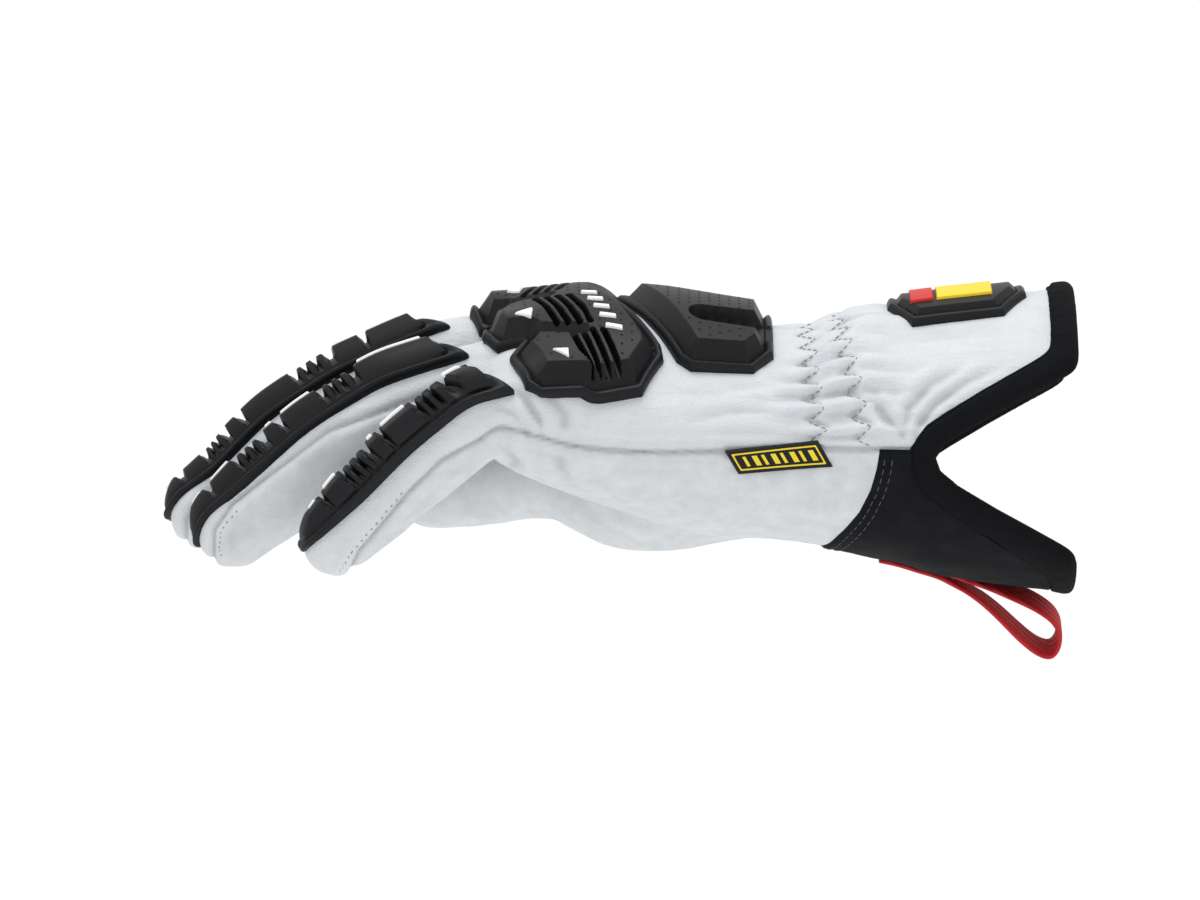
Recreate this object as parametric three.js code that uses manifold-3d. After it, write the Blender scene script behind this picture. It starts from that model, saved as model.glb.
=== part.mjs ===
// A left-hand work glove in smooth leather with moulded impact guards, shown filled as a hand fills it.
// Millimetres, +Z up: the fingers point along -X, the cuff opens along +X, the back of the hand is up,
// the little finger is at -Y and the thumb at +Y. The origin is the middle of the wrist.
import * as THREE from 'three';
import Module from 'manifold-3d';
import { mergeVertices } from 'three/addons/utils/BufferGeometryUtils.js';

// Driving sizes of the leather body.
const LEATHER = 1.8;
const SEAM_GAP = 0.3;
const PALM_LENGTH = 88;
const CUFF_LENGTH = 62;
const BACK_RISE = 32;
const PALM_DROP = 32;
const HALF_BREADTH = 44;
const GATHERS = 9;
const GATHER_DEPTH = 1.5;

// Driving sizes of the fingers and the thumb.
const FINGER_PITCH = 0.4773 * HALF_BREADTH;
const FINGER_ROOT = 0.75 * PALM_LENGTH;
const FINGER_REACH = 98;
const FINGER_FALL = 38.5;
const ROOT_SHARE = 0.88;
const THUMB_REACH = 104;

// Driving sizes of the cuff.
const NOTCH_DEPTH = 0.58 * CUFF_LENGTH;
const NOTCH_RISE = 23;
const NOTCH_FALL = 14.2;
const NOTCH_SPAN = 1.64 * HALF_BREADTH;
const BINDING_WIDTH = 7.2;
const BINDING_PROUD = 0.9;
const LOOP_LENGTH = 33;
const LOOP_WIDTH = 10;
const LOOP_THICK = 1.5;
const LOOP_DROP = 21;
const LABEL_START = 0.33 * PALM_LENGTH;
const LABEL_TOP = 1.4;
const LABEL_LENGTH = 24;
const LABEL_HEIGHT = 6.6;
const LABEL_SLANT = 3.6;
const LABEL_TILT = 0.09;
const LABEL_THICK = 1;
const LABEL_SEAT = 0.6;

// Driving sizes of the moulded guards.
const FLANGE_THICK = 2;
const GUARD_HEIGHT = 5.6;
const GUARD_HALF_ANGLE = 54;
const FLANGE_WIDTH = 2.6;
const WALL_LEAN = 2.4;
const GROOVE_WIDTH = 1.3;
const GROOVES = 4;
const GROOVE_LENGTH = 0.86 * FINGER_PITCH;
const GROOVE_TURN = 0.35;
const RIB_PITCH = 2.75;
const RIB_SHARE = 0.85;
const SEAT = 0.7;
const BACK_SEAT = SEAT + 1.5 * SEAM_GAP;

// Driving sizes of the white, red and yellow trims and of the badge.
const TRIM_THICK = 0.6;
const BAR_HALF_TURN = 0.09;
const TRIANGLE_SIZE = 4.4;
const TRIANGLE_AHEAD = 2.6;
const BAND_BARS = 5;
const BAND_START = { ahead: 0.655 * PALM_LENGTH, side: -0.48 * HALF_BREADTH };
const BAND_STEP = { back: -0.017 * PALM_LENGTH, across: 0.105 * HALF_BREADTH };
const BAND_BAR = { length: 5, width: 1.8, slant: 1 };
const BADGE_LENGTH = 0.58 * CUFF_LENGTH;
const BADGE_WIDTH = 0.773 * HALF_BREADTH;
const BADGE_HEIGHT = 4.6;
const BADGE_START = 0.218 * CUFF_LENGTH;
const BADGE_MIDDLE = 0.12 * HALF_BREADTH;
const BADGE_PLATE_SHARE = 0.54;
const RED_PLATE = [0.17, 0.34];
const YELLOW_PLATE = [0.36, 0.76];

// Curves and fineness of the surfaces: exponents of the hand's sections, sides and steps of each skin,
// the longest edge of a moulding laid on the back, and how far past the glove a cutting block reaches.
const CURVE = 1.9;
const PALM_CURVE = 2.3;
const BACK_SIDES = 2 * GATHERS;
const PALM_SIDES = 12;
const INNER_SIDES = 8;
const LIMB_SIDES = 10;
const LIMB_STEPS = 6;
const LINING_SIDES = 8;
const LINING_STEPS = 4;
const TIP_STEPS = [0.35, 0.7];
const EDGE_LIMIT = 11;
const PLATE_LIMIT = 5;
const HALVINGS = 16;
const LAY_STEP = 1.5;
const VALLEY_FILL = 1.2;
const FAR = 90;

// Sections of the hand from the cuff mouth to the finger roots. along is a share of CUFF_LENGTH when
// positive and of PALM_LENGTH when negative; top and seam are shares of BACK_RISE, bottom of PALM_DROP,
// near, far and crown of HALF_BREADTH, and gather of GATHER_DEPTH.
const HAND_SECTIONS = [
  { along: 1, top: 1.15, bottom: 1.28, near: 0.93, far: 0.95, crown: 0.12, seam: 0.03, gather: 0 },
  { along: 0.66, top: 1.08, bottom: 1.2, near: 0.87, far: 0.89, crown: 0.12, seam: 0.03, gather: 0 },
  { along: 0.42, top: 1.03, bottom: 1.15, near: 0.84, far: 0.86, crown: 0.12, seam: 0.03, gather: 0 },
  { along: 0.26, top: 0.99, bottom: 1.04, near: 0.82, far: 0.84, crown: 0.12, seam: 0.03, gather: 0.1 },
  { along: 0.13, top: 1.03, bottom: 1, near: 0.81, far: 0.83, crown: 0.12, seam: 0.03, gather: 0.4 },
  { along: 0.05, top: 0.96, bottom: 0.97, near: 0.8, far: 0.82, crown: 0.12, seam: 0.03, gather: 0.8 },
  { along: -0.035, top: 0.86, bottom: 0.92, near: 0.795, far: 0.81, crown: 0.12, seam: 0.03, gather: 1 },
  { along: -0.115, top: 0.83, bottom: 0.89, near: 0.8, far: 0.81, crown: 0.12, seam: 0.03, gather: 0.9 },
  { along: -0.195, top: 0.84, bottom: 0.87, near: 0.815, far: 0.83, crown: 0.12, seam: 0.03, gather: 0.4 },
  { along: -0.34, top: 0.9, bottom: 0.84, near: 0.86, far: 0.87, crown: 0.13, seam: 0.03, gather: 0 },
  { along: -0.5, top: 0.97, bottom: 0.75, near: 0.92, far: 0.92, crown: 0.15, seam: 0.03, gather: 0 },
  { along: -0.65, top: 1, bottom: 0.6, near: 0.96, far: 0.95, crown: 0.18, seam: 0.05, gather: 0 },
  { along: -0.785, top: 0.985, bottom: 0.47, near: 0.98, far: 0.98, crown: 0.18, seam: 0.1, gather: 0 },
  { along: -0.91, top: 0.93, bottom: 0.33, near: 0.98, far: 1, crown: 0.18, seam: 0.2, gather: 0 },
  { along: -0.99, top: 0.84, bottom: 0.2, near: 0.96, far: 0.99, crown: 0.18, seam: 0.25, gather: 0 },
  { along: -1.04, top: 0.7, bottom: 0.04, near: 0.91, far: 0.95, crown: 0.18, seam: 0.27, gather: 0 },
  { along: -1.07, top: 0.52, bottom: -0.16, near: 0.84, far: 0.88, crown: 0.18, seam: 0.3, gather: 0 },
];

// One row a finger: side is its place in pitches from the middle finger, rise its root's height as a
// share of BACK_RISE, reach and drop shares of FINGER_REACH and FINGER_FALL, splay its sideways lean and
// high and wide its half sizes as shares of FINGER_PITCH, the guard's start a share of
// PALM_LENGTH and its length and skew shares of FINGER_REACH. bends holds the centre line and seam the seam line as shares of reach and drop.
const FINGER_SHARES = [
  {
    name: 'little',
    side: -2,
    rise: 0.265,
    reach: 0.648,
    drop: 0.8052,
    splay: -0.2381,
    high: 0.4952,
    wide: 0.4667,
    guard: { from: 0.2786, length: 0.6224, skew: 0.0816, pattern: 'short' },
    bends: [
      { reach: 0, drop: 0 },
      { reach: 0.19, drop: -0.03 },
      { reach: 0.41, drop: 0.05 },
      { reach: 0.65, drop: 0.435 },
      { reach: 0.82, drop: 0.726 },
      { reach: 1, drop: 1 },
    ],
    seam: [
      { reach: 0.28, drop: 0 },
      { reach: 0.556, drop: 0.29 },
      { reach: 0.7, drop: 0.584 },
      { reach: 0.887, drop: 1.07 },
      { reach: 0.973, drop: 1.5 },
    ],
  },
  {
    name: 'ring',
    side: -1,
    rise: 0.5,
    reach: 0.9133,
    drop: 0.9481,
    splay: -0.0714,
    high: 0.6095,
    wide: 0.4905,
    guard: { from: 0.3873, length: 0.8163, skew: 0.0918, pattern: 'long' },
    bends: [
      { reach: 0, drop: 0 },
      { reach: 0.21, drop: -0.03 },
      { reach: 0.36, drop: 0.055 },
      { reach: 0.525, drop: 0.18 },
      { reach: 0.726, drop: 0.48 },
      { reach: 0.87, drop: 0.753 },
      { reach: 1, drop: 1 },
    ],
    seam: [
      { reach: 0.2, drop: -0.03 },
      { reach: 0.32, drop: -0.03 },
      { reach: 0.728, drop: 0.35 },
      { reach: 0.932, drop: 0.726 },
      { reach: 1.007, drop: 0.868 },
      { reach: 1.06, drop: 1.06 },
      { reach: 1.068, drop: 1.5 },
    ],
  },
  {
    name: 'middle',
    side: 0,
    rise: 0.53,
    reach: 1,
    drop: 1,
    splay: 0.0714,
    high: 0.5857,
    wide: 0.4952,
    guard: { from: 0.4478, length: 0.8367, skew: 0.0816, pattern: 'split' },
    bends: [
      { reach: 0, drop: 0 },
      { reach: 0.19, drop: -0.01 },
      { reach: 0.316, drop: 0.04 },
      { reach: 0.45, drop: 0.17 },
      { reach: 0.6, drop: 0.377 },
      { reach: 0.765, drop: 0.65 },
      { reach: 0.9, drop: 0.87 },
      { reach: 1, drop: 1 },
    ],
    seam: [
      { reach: 0.19, drop: -0.03 },
      { reach: 0.32, drop: -0.03 },
      { reach: 0.728, drop: 0.4 },
      { reach: 0.932, drop: 0.74 },
      { reach: 1.0, drop: 0.868 },
      { reach: 1.05, drop: 1.06 },
      { reach: 1.06, drop: 1.5 },
    ],
  },
  {
    name: 'index',
    side: 1,
    rise: 0.43,
    reach: 0.9082,
    drop: 0.8961,
    splay: 0.2381,
    high: 0.5714,
    wide: 0.4952,
    guard: { from: 0.4002, length: 0.7653, skew: 0.0816, pattern: 'split' },
    bends: [
      { reach: 0, drop: 0 },
      { reach: 0.2, drop: 0 },
      { reach: 0.35, drop: 0.07 },
      { reach: 0.49, drop: 0.23 },
      { reach: 0.66, drop: 0.46 },
      { reach: 0.84, drop: 0.77 },
      { reach: 1, drop: 1 },
    ],
    seam: [
      { reach: 0.2, drop: -0.03 },
      { reach: 0.32, drop: -0.03 },
      { reach: 0.728, drop: 0.42 },
      { reach: 0.932, drop: 0.74 },
      { reach: 1.0, drop: 0.868 },
      { reach: 1.05, drop: 1.06 },
      { reach: 1.06, drop: 1.55 },
    ],
  },
];

const FINGERS = FINGER_SHARES.map((row) => ({
  ...row,
  reach: row.reach * FINGER_REACH,
  drop: row.drop * FINGER_FALL,
  splay: row.splay * FINGER_PITCH,
  high: row.high * FINGER_PITCH,
  wide: row.wide * FINGER_PITCH,
  guard: {
    ...row.guard,
    from: row.guard.from * PALM_LENGTH,
    length: row.guard.length * FINGER_REACH,
    skew: row.guard.skew * FINGER_REACH,
  },
}));

// Centre line and half sizes of the ball of the thumb and the thumb: reach is a share of THUMB_REACH,
// side of HALF_BREADTH, and drop, high and wide of PALM_DROP.
const THUMB_SECTIONS = [
  { reach: 0.04, side: 0.18, drop: 0.375, high: 0.34, wide: 0.44 },
  { reach: 0.17, side: 0.27, drop: 0.44, high: 0.488, wide: 0.53 },
  { reach: 0.29, side: 0.34, drop: 0.47, high: 0.525, wide: 0.58 },
  { reach: 0.4, side: 0.41, drop: 0.515, high: 0.544, wide: 0.59 },
  { reach: 0.5, side: 0.48, drop: 0.53, high: 0.562, wide: 0.59 },
  { reach: 0.575, side: 0.545, drop: 0.53, high: 0.515, wide: 0.56 },
  { reach: 0.635, side: 0.6, drop: 0.515, high: 0.425, wide: 0.5 },
  { reach: 0.68, side: 0.65, drop: 0.5, high: 0.37, wide: 0.44 },
  { reach: 0.77, side: 0.68, drop: 0.5, high: 0.362, wide: 0.39 },
  { reach: 0.885, side: 0.7, drop: 0.556, high: 0.375, wide: 0.375 },
  { reach: 1, side: 0.73, drop: 0.585, high: 0.375, wide: 0.37 },
];

// Edge of the notch in the side of the cuff, as shares of NOTCH_DEPTH and NOTCH_RISE.
const NOTCH_EDGE = [
  { run: 1.06, rise: 1.06 },
  { run: 0.42, rise: 0.47 },
  { run: 0.14, rise: 0.2 },
  { run: 0.05, rise: 0.12 },
  { run: 0, rise: 0 },
  { run: 0.05, rise: -0.12 },
  { run: 0.14, rise: -0.24 },
  { run: 0.42, rise: -0.5 },
  { run: 1.06, rise: -1.06 },
];

// Front edge of the suede panel of the cuff: along is a share of CUFF_LENGTH, drop of PALM_DROP.
const PANEL_EDGE = [
  { along: 0.17, drop: -0.4 },
  { along: 0.17, drop: 0 },
  { along: 0.16, drop: 0.125 },
  { along: 0.135, drop: 0.31 },
  { along: 0.09, drop: 0.5 },
  { along: 0.04, drop: 0.63 },
  { along: -0.05, drop: 0.9 },
  { along: -0.09, drop: 1.6 },
];

// Raised forms along each kind of finger guard, from and to as shares of its length.
const GUARD_PATTERNS = {
  short: [
    { form: 'block', from: 0.03, to: 0.09, bar: [0.045, 0.085] },
    { form: 'rib', from: 0.105, to: 0.135 },
    { form: 'rib', from: 0.145, to: 0.175 },
    { form: 'rib', from: 0.185, to: 0.215 },
    { form: 'block', from: 0.235, to: 0.4, bar: [0.26, 0.38] },
    { form: 'block', from: 0.415, to: 0.48, bar: [0.43, 0.455] },
    { form: 'rib', from: 0.51, to: 0.54 },
    { form: 'rib', from: 0.555, to: 0.585 },
    { form: 'rib', from: 0.6, to: 0.63 },
    { form: 'block', from: 0.65, to: 0.775, bar: [0.67, 0.75] },
    { form: 'block', from: 0.79, to: 0.94, bar: [0.81, 0.85] },
  ],
  long: [
    { form: 'block', from: 0.03, to: 0.235, bar: [0.04, 0.215] },
    { form: 'rib', from: 0.255, to: 0.28 },
    { form: 'rib', from: 0.29, to: 0.315 },
    { form: 'rib', from: 0.325, to: 0.35 },
    { form: 'block', from: 0.37, to: 0.5, bar: [0.39, 0.485] },
    { form: 'block', from: 0.515, to: 0.57, bar: [0.525, 0.55] },
    { form: 'rib', from: 0.595, to: 0.62 },
    { form: 'rib', from: 0.63, to: 0.655 },
    { form: 'rib', from: 0.665, to: 0.69 },
    { form: 'block', from: 0.705, to: 0.815, bar: [0.72, 0.8] },
    { form: 'block', from: 0.83, to: 0.95, bar: [0.845, 0.88] },
  ],
  split: [
    { form: 'block', from: 0.03, to: 0.165, bar: [0.045, 0.15] },
    { form: 'block', from: 0.18, to: 0.275, bar: [0.195, 0.26] },
    { form: 'rib', from: 0.295, to: 0.32 },
    { form: 'rib', from: 0.33, to: 0.355 },
    { form: 'rib', from: 0.365, to: 0.39 },
    { form: 'block', from: 0.41, to: 0.575, bar: [0.43, 0.56] },
    { form: 'block', from: 0.59, to: 0.645, bar: [0.605, 0.63] },
    { form: 'rib', from: 0.665, to: 0.69 },
    { form: 'rib', from: 0.7, to: 0.725 },
    { form: 'rib', from: 0.735, to: 0.76 },
    { form: 'block', from: 0.78, to: 0.865, bar: [0.795, 0.85] },
    { form: 'block', from: 0.88, to: 0.96, bar: [0.89, 0.92] },
  ],
};

// Outline of the knuckle guard seen from above: ahead is a share of PALM_LENGTH, side of HALF_BREADTH.
const KNUCKLE_OUTLINE = [
  { ahead: 0.6, side: -0.93 },
  { ahead: 0.875, side: -0.93 },
  { ahead: 0.915, side: -0.87 },
  { ahead: 0.955, side: -0.57 },
  { ahead: 0.93, side: -0.47 },
  { ahead: 0.99, side: -0.44 },
  { ahead: 1.035, side: -0.3 },
  { ahead: 1.035, side: -0.1 },
  { ahead: 0.99, side: 0.01 },
  { ahead: 1.06, side: 0.06 },
  { ahead: 1.095, side: 0.19 },
  { ahead: 1.095, side: 0.36 },
  { ahead: 1.05, side: 0.46 },
  { ahead: 0.99, side: 0.5 },
  { ahead: 1.04, side: 0.55 },
  { ahead: 1.07, side: 0.66 },
  { ahead: 1.06, side: 0.82 },
  { ahead: 1.02, side: 0.92 },
  { ahead: 0.73, side: 0.94 },
  { ahead: 0.62, side: 0.86 },
  { ahead: 0.55, side: 0.7 },
  { ahead: 0.67, side: 0.26 },
  { ahead: 0.51, side: -0.58 },
  { ahead: 0.51, side: -0.69 },
  { ahead: 0.56, side: -0.86 },
];

// Where the ribs of each knuckle lobe start, and the way they lean.
const LOBES = [
  { ahead: 0.781, side: -0.7, lean: 1 },
  { ahead: 0.875, side: -0.23, lean: 1 },
  { ahead: 0.905, side: 0.26, lean: -1 },
  { ahead: 0.875, side: 0.73, lean: -1 },
];

// Outline of the arrowhead guard on the back of the hand, in the same shares.
const ARROW_OUTLINE = [
  { ahead: 0.648, side: 0.24 },
  { ahead: 0.47, side: -0.68 },
  { ahead: 0.43, side: -0.71 },
  { ahead: 0.235, side: -0.63 },
  { ahead: 0.185, side: -0.42 },
  { ahead: 0.2, side: -0.27 },
  { ahead: 0.38, side: -0.26 },
  { ahead: 0.4, side: -0.225 },
  { ahead: 0.38, side: -0.18 },
  { ahead: 0.2, side: -0.17 },
  { ahead: 0.185, side: 0 },
  { ahead: 0.185, side: 0.5 },
  { ahead: 0.235, side: 0.75 },
  { ahead: 0.43, side: 0.83 },
  { ahead: 0.47, side: 0.81 },
];

const WHITE_LEATHER = { color: 0xe4e7ea, roughness: 0.62, metalness: 0 };
const SUEDE_LEATHER = { color: 0xcfd3d6, roughness: 0.85, metalness: 0 };
const BLACK_SUEDE = { color: 0x232427, roughness: 0.9, metalness: 0 };
const BLACK_FLEECE = { color: 0x17181a, roughness: 0.95, metalness: 0 };
const BLACK_RUBBER = { color: 0x26272b, roughness: 0.5, metalness: 0 };
const WHITE_RUBBER = { color: 0xf1f2f0, roughness: 0.5, metalness: 0 };
const RED_WEBBING = { color: 0xc3151f, roughness: 0.75, metalness: 0 };
const RED_RUBBER = { color: 0xd0241f, roughness: 0.5, metalness: 0 };
const YELLOW_RUBBER = { color: 0xe9c92f, roughness: 0.5, metalness: 0 };

const wasm = await Module();
wasm.setup();

const glove = new THREE.Group();

function addPiece(name, geometry, finish) {
  const mesh = new THREE.Mesh(geometry, new THREE.MeshStandardMaterial(finish));
  mesh.name = name;
  glove.add(mesh);
}

// Turns a closed geometry into a solid for joins and cuts.
function toSolid(geometry) {
  const bare = geometry.clone();
  bare.deleteAttribute('normal');
  bare.deleteAttribute('uv');
  const merged = mergeVertices(bare, 1e-4);
  return new wasm.Manifold(new wasm.Mesh({
    numProp: 3,
    vertProperties: Float32Array.from(merged.attributes.position.array),
    triVerts: Uint32Array.from(merged.index.array),
  }));
}

function toGeometry(solid) {
  const mesh = solid.getMesh();
  const geometry = new THREE.BufferGeometry();
  geometry.setAttribute('position', new THREE.BufferAttribute(Float32Array.from(mesh.vertProperties), 3));
  geometry.setIndex(Array.from(mesh.triVerts));
  geometry.computeVertexNormals();
  return geometry;
}

function geometryOf(points, triangles) {
  const geometry = new THREE.BufferGeometry().setFromPoints(points);
  geometry.setIndex(triangles.flat());
  return turnOut(geometry);
}

// Reverses the triangles of a closed geometry whose faces point inwards.
function turnOut(geometry) {
  const at = geometry.attributes.position;
  const order = geometry.index.array;
  const corner = [new THREE.Vector3(), new THREE.Vector3(), new THREE.Vector3()];
  let volume = 0;
  for (let i = 0; i < order.length; i += 3) {
    corner.forEach((point, k) => point.fromBufferAttribute(at, order[i + k]));
    volume += corner[0].dot(corner[1].clone().cross(corner[2]));
  }
  if (volume < 0) {
    for (let i = 0; i < order.length; i += 3) {
      [order[i], order[i + 1]] = [order[i + 1], order[i]];
    }
  }
  return geometry;
}

// Skin through closed rings of equal count, each end closed round its middle.
function loft(rings) {
  const count = rings[0].length;
  const points = rings.flat();
  const triangles = [];
  for (let r = 0; r + 1 < rings.length; r += 1) {
    for (let k = 0; k < count; k += 1) {
      const next = (k + 1) % count;
      const a = r * count + k;
      const b = r * count + next;
      triangles.push([a, b, b + count], [a, b + count, a + count]);
    }
  }
  for (const r of [0, rings.length - 1]) {
    const middle = rings[r].reduce((sum, p) => sum.add(p), new THREE.Vector3()).divideScalar(count);
    points.push(middle);
    for (let k = 0; k < count; k += 1) {
      const pair = [r * count + k, r * count + ((k + 1) % count)];
      if (r === 0) pair.reverse();
      triangles.push([...pair, points.length - 1]);
    }
  }
  return geometryOf(points, triangles);
}

// Moves each point of an open or closed line of [a, b] pairs sideways by a distance.
function offsetLine(line, distance, closed) {
  return line.map((point, i) => {
    const last = line.length - 1;
    const before = line[i > 0 ? i - 1 : (closed ? last : 0)];
    const after = line[i < last ? i + 1 : (closed ? 0 : last)];
    const into = new THREE.Vector2(point[0] - before[0], point[1] - before[1]);
    const out = new THREE.Vector2(after[0] - point[0], after[1] - point[1]);
    if (into.length() === 0) into.copy(out);
    if (out.length() === 0) out.copy(into);
    into.normalize();
    out.normalize();
    const side = new THREE.Vector2(-into.y - out.y, into.x + out.x).normalize();
    const stretch = Math.max(0.5, side.x * -into.y + side.y * into.x);
    return [point[0] + side.x * distance / stretch, point[1] + side.y * distance / stretch];
  });
}

// Solid between two heights over an outline of [x, y] pairs, its top outline drawn in by lean.
function plate(outline, low, high, lean) {
  const top = offsetLine(outline, lean, true);
  const count = outline.length;
  const points = [
    ...outline.map(([x, y]) => new THREE.Vector3(x, y, low)),
    ...top.map(([x, y]) => new THREE.Vector3(x, y, high)),
  ];
  const faces = THREE.ShapeUtils.triangulateShape(outline.map(([x, y]) => new THREE.Vector2(x, y)), []);
  const triangles = [];
  faces.forEach(([a, b, c]) => triangles.push([a, c, b]));
  faces.forEach(([a, b, c]) => triangles.push([a + count, b + count, c + count]));
  const turn = THREE.ShapeUtils.isClockWise(outline.map(([x, y]) => new THREE.Vector2(x, y)));
  for (let k = 0; k < count; k += 1) {
    const next = (k + 1) % count;
    const wall = [[k, next, next + count], [k, next + count, k + count]];
    triangles.push(...(turn ? wall.map(([a, b, c]) => [a, c, b]) : wall));
  }
  return geometryOf(points, triangles);
}

// Prism along Y over an outline of [x, z] pairs, from y = low to y = high.
function prism(outline, low, high) {
  const shape = new THREE.Shape(outline.map(([x, z]) => new THREE.Vector2(x, z)));
  const geometry = new THREE.ExtrudeGeometry(shape, { depth: high - low, bevelEnabled: false });
  geometry.rotateX(Math.PI / 2);
  geometry.translate(0, high, 0);
  return geometry;
}

function alongHand(share) {
  return share * (share > 0 ? CUFF_LENGTH : PALM_LENGTH);
}

// One section of the hand in millimetres.
function handSection(row) {
  return {
    x: alongHand(row.along),
    top: row.top * BACK_RISE,
    bottom: -row.bottom * PALM_DROP,
    near: -row.near * HALF_BREADTH,
    far: row.far * HALF_BREADTH,
    crown: row.crown * HALF_BREADTH,
    seam: row.seam * BACK_RISE,
    gather: row.gather * GATHER_DEPTH,
  };
}

const handRows = HAND_SECTIONS.map(handSection);

// Ring of points round a section, from the near seam over the back to the far seam and under the palm.
function handRing(section, grow, inner) {
  const ring = [];
  const backSides = inner ? INNER_SIDES : BACK_SIDES;
  const palmSides = inner ? INNER_SIDES : PALM_SIDES;
  for (let k = 0; k < backSides + palmSides; k += 1) {
    const over = k < backSides;
    const angle = over ? (Math.PI * k) / backSides : Math.PI * (1 + (k - backSides) / palmSides);
    const power = 2 / (over ? CURVE : PALM_CURVE);
    const pleat = over && !inner ? section.gather * (0.5 - 0.5 * Math.cos(2 * GATHERS * angle)) : 0;
    const across = Math.cos(angle);
    const reach = across > 0 ? section.near - grow - section.crown : section.far + grow - section.crown;
    const y = section.crown + reach * Math.abs(across) ** power;
    const lift = Math.abs(Math.sin(angle)) ** power;
    const rise = over ? section.top + grow + pleat - section.seam : section.bottom - grow - section.seam;
    ring.push(new THREE.Vector3(section.x, y, section.seam + rise * lift));
  }
  return ring;
}

function handLoft(grow, inner) {
  const rings = handRows.map((section) => handRing(section, grow, inner));
  if (inner) {
    rings[0].forEach((point) => { point.x += BINDING_WIDTH; });
    rings.at(-1).forEach((point) => { point.x -= grow; });
    rings.at(-2).forEach((point) => { point.x -= grow; });
  }
  return toSolid(loft(rings));
}

// A finger or thumb: a centre line with half sizes, and a dome past its last point.
function makeLimb(points, highs, wides) {
  const curve = new THREE.CatmullRomCurve3(points, false, 'centripetal');
  const length = curve.getLength();
  const last = points.length - 1;
  function mix(values, t) {
    const i = Math.min(last - 1, Math.floor(t * last));
    return THREE.MathUtils.lerp(values[i], values[i + 1], t * last - i);
  }
  // Point on the skin a distance along, at an angle round (90 degrees is the back), lifted off it.
  function skin(distance, degrees, lift) {
    const inside = Math.min(distance, length);
    const u = inside / length;
    const t = curve.getUtoTmapping(u);
    const middle = curve.getPoint(t);
    const ahead = curve.getTangent(t);
    const side = new THREE.Vector3(ahead.y, -ahead.x, 0).normalize();
    const up = new THREE.Vector3().crossVectors(ahead, side).normalize();
    if (up.z < 0) up.negate();
    const high = mix(highs, t) + lift;
    const wide = mix(wides, t) + lift;
    const turn = Math.max(0, distance - length) / mix(highs, 1);
    const angle = THREE.MathUtils.degToRad(degrees);
    return middle
      .addScaledVector(ahead, high * Math.sin(turn))
      .addScaledVector(side, wide * Math.cos(angle) * Math.cos(turn))
      .addScaledVector(up, high * Math.sin(angle) * Math.cos(turn));
  }
  const dome = (Math.PI / 2) * highs.at(-1);
  return { length, dome, skin };
}

function limbLoft(limb, grow) {
  const stops = [];
  const steps = grow < 0 ? LINING_STEPS : LIMB_STEPS;
  const sides = grow < 0 ? LINING_SIDES : LIMB_SIDES;
  for (let i = 0; i <= steps; i += 1) {
    stops.push((limb.length * i) / steps);
  }
  TIP_STEPS.forEach((share) => stops.push(limb.length + share * limb.dome));
  const rings = stops.map((stop) => {
    const ring = [];
    for (let k = 0; k < sides; k += 1) {
      ring.push(limb.skin(stop, (360 * k) / sides, grow));
    }
    return ring;
  });
  return toSolid(loft(rings));
}

const MIDDLE_SIDE = FINGER_PITCH / 2;

function fingerLimb(finger) {
  const rootSide = MIDDLE_SIDE + finger.side * FINGER_PITCH;
  const points = finger.bends.map((row) => new THREE.Vector3(
    -FINGER_ROOT - row.reach * finger.reach,
    rootSide + row.reach * finger.splay,
    finger.rise * BACK_RISE - row.drop * finger.drop,
  ));
  const highs = finger.bends.map((row) => finger.high * THREE.MathUtils.lerp(ROOT_SHARE, 1, row.reach));
  const wides = finger.bends.map(() => finger.wide);
  return makeLimb(points, highs, wides);
}

const thumbLimb = makeLimb(
  THUMB_SECTIONS.map((row) => new THREE.Vector3(
    -row.reach * THUMB_REACH,
    row.side * HALF_BREADTH,
    -row.drop * PALM_DROP,
  )),
  THUMB_SECTIONS.map((row) => row.high * PALM_DROP),
  THUMB_SECTIONS.map((row) => row.wide * PALM_DROP),
);
const fingerLimbs = FINGERS.map(fingerLimb);

function joined(solids) {
  return solids.reduce((sum, solid) => sum.add(solid));
}

// The space below the seam line: the palm side of the hand and of each finger, its top raised by lift.
function palmZone(lift) {
  const line = handRows.slice(0, -2).map((row) => [row.x, row.seam]);
  line.unshift([FAR, handRows[0].seam]);
  const hand = offsetLine(line, -lift, false);
  hand.at(-1)[0] -= 2 * lift;
  hand.push([hand.at(-1)[0], -FAR], [FAR, -FAR]);
  const zones = [toSolid(prism(hand, -FAR, FAR))];
  for (const finger of FINGERS) {
    const rootSide = MIDDLE_SIDE + finger.side * FINGER_PITCH;
    const seam = finger.seam.map((row) => [
      -FINGER_ROOT - row.reach * finger.reach,
      finger.rise * BACK_RISE - row.drop * finger.drop,
    ]);
    const edge = offsetLine(seam, -lift, false);
    edge[0][0] += 2 * lift;
    edge.push([edge.at(-1)[0], -FAR], [edge[0][0], -FAR]);
    const half = FINGER_PITCH / 2;
    const slab = prism(edge, rootSide - half - lift, rootSide + half + lift);
    const at = slab.attributes.position;
    for (let i = 0; i < at.count; i += 1) {
      const share = (-FINGER_ROOT - at.getX(i)) / finger.reach;
      at.setY(i, at.getY(i) + share * finger.splay);
    }
    zones.push(toSolid(slab));
  }
  return joined(zones);
}

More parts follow.
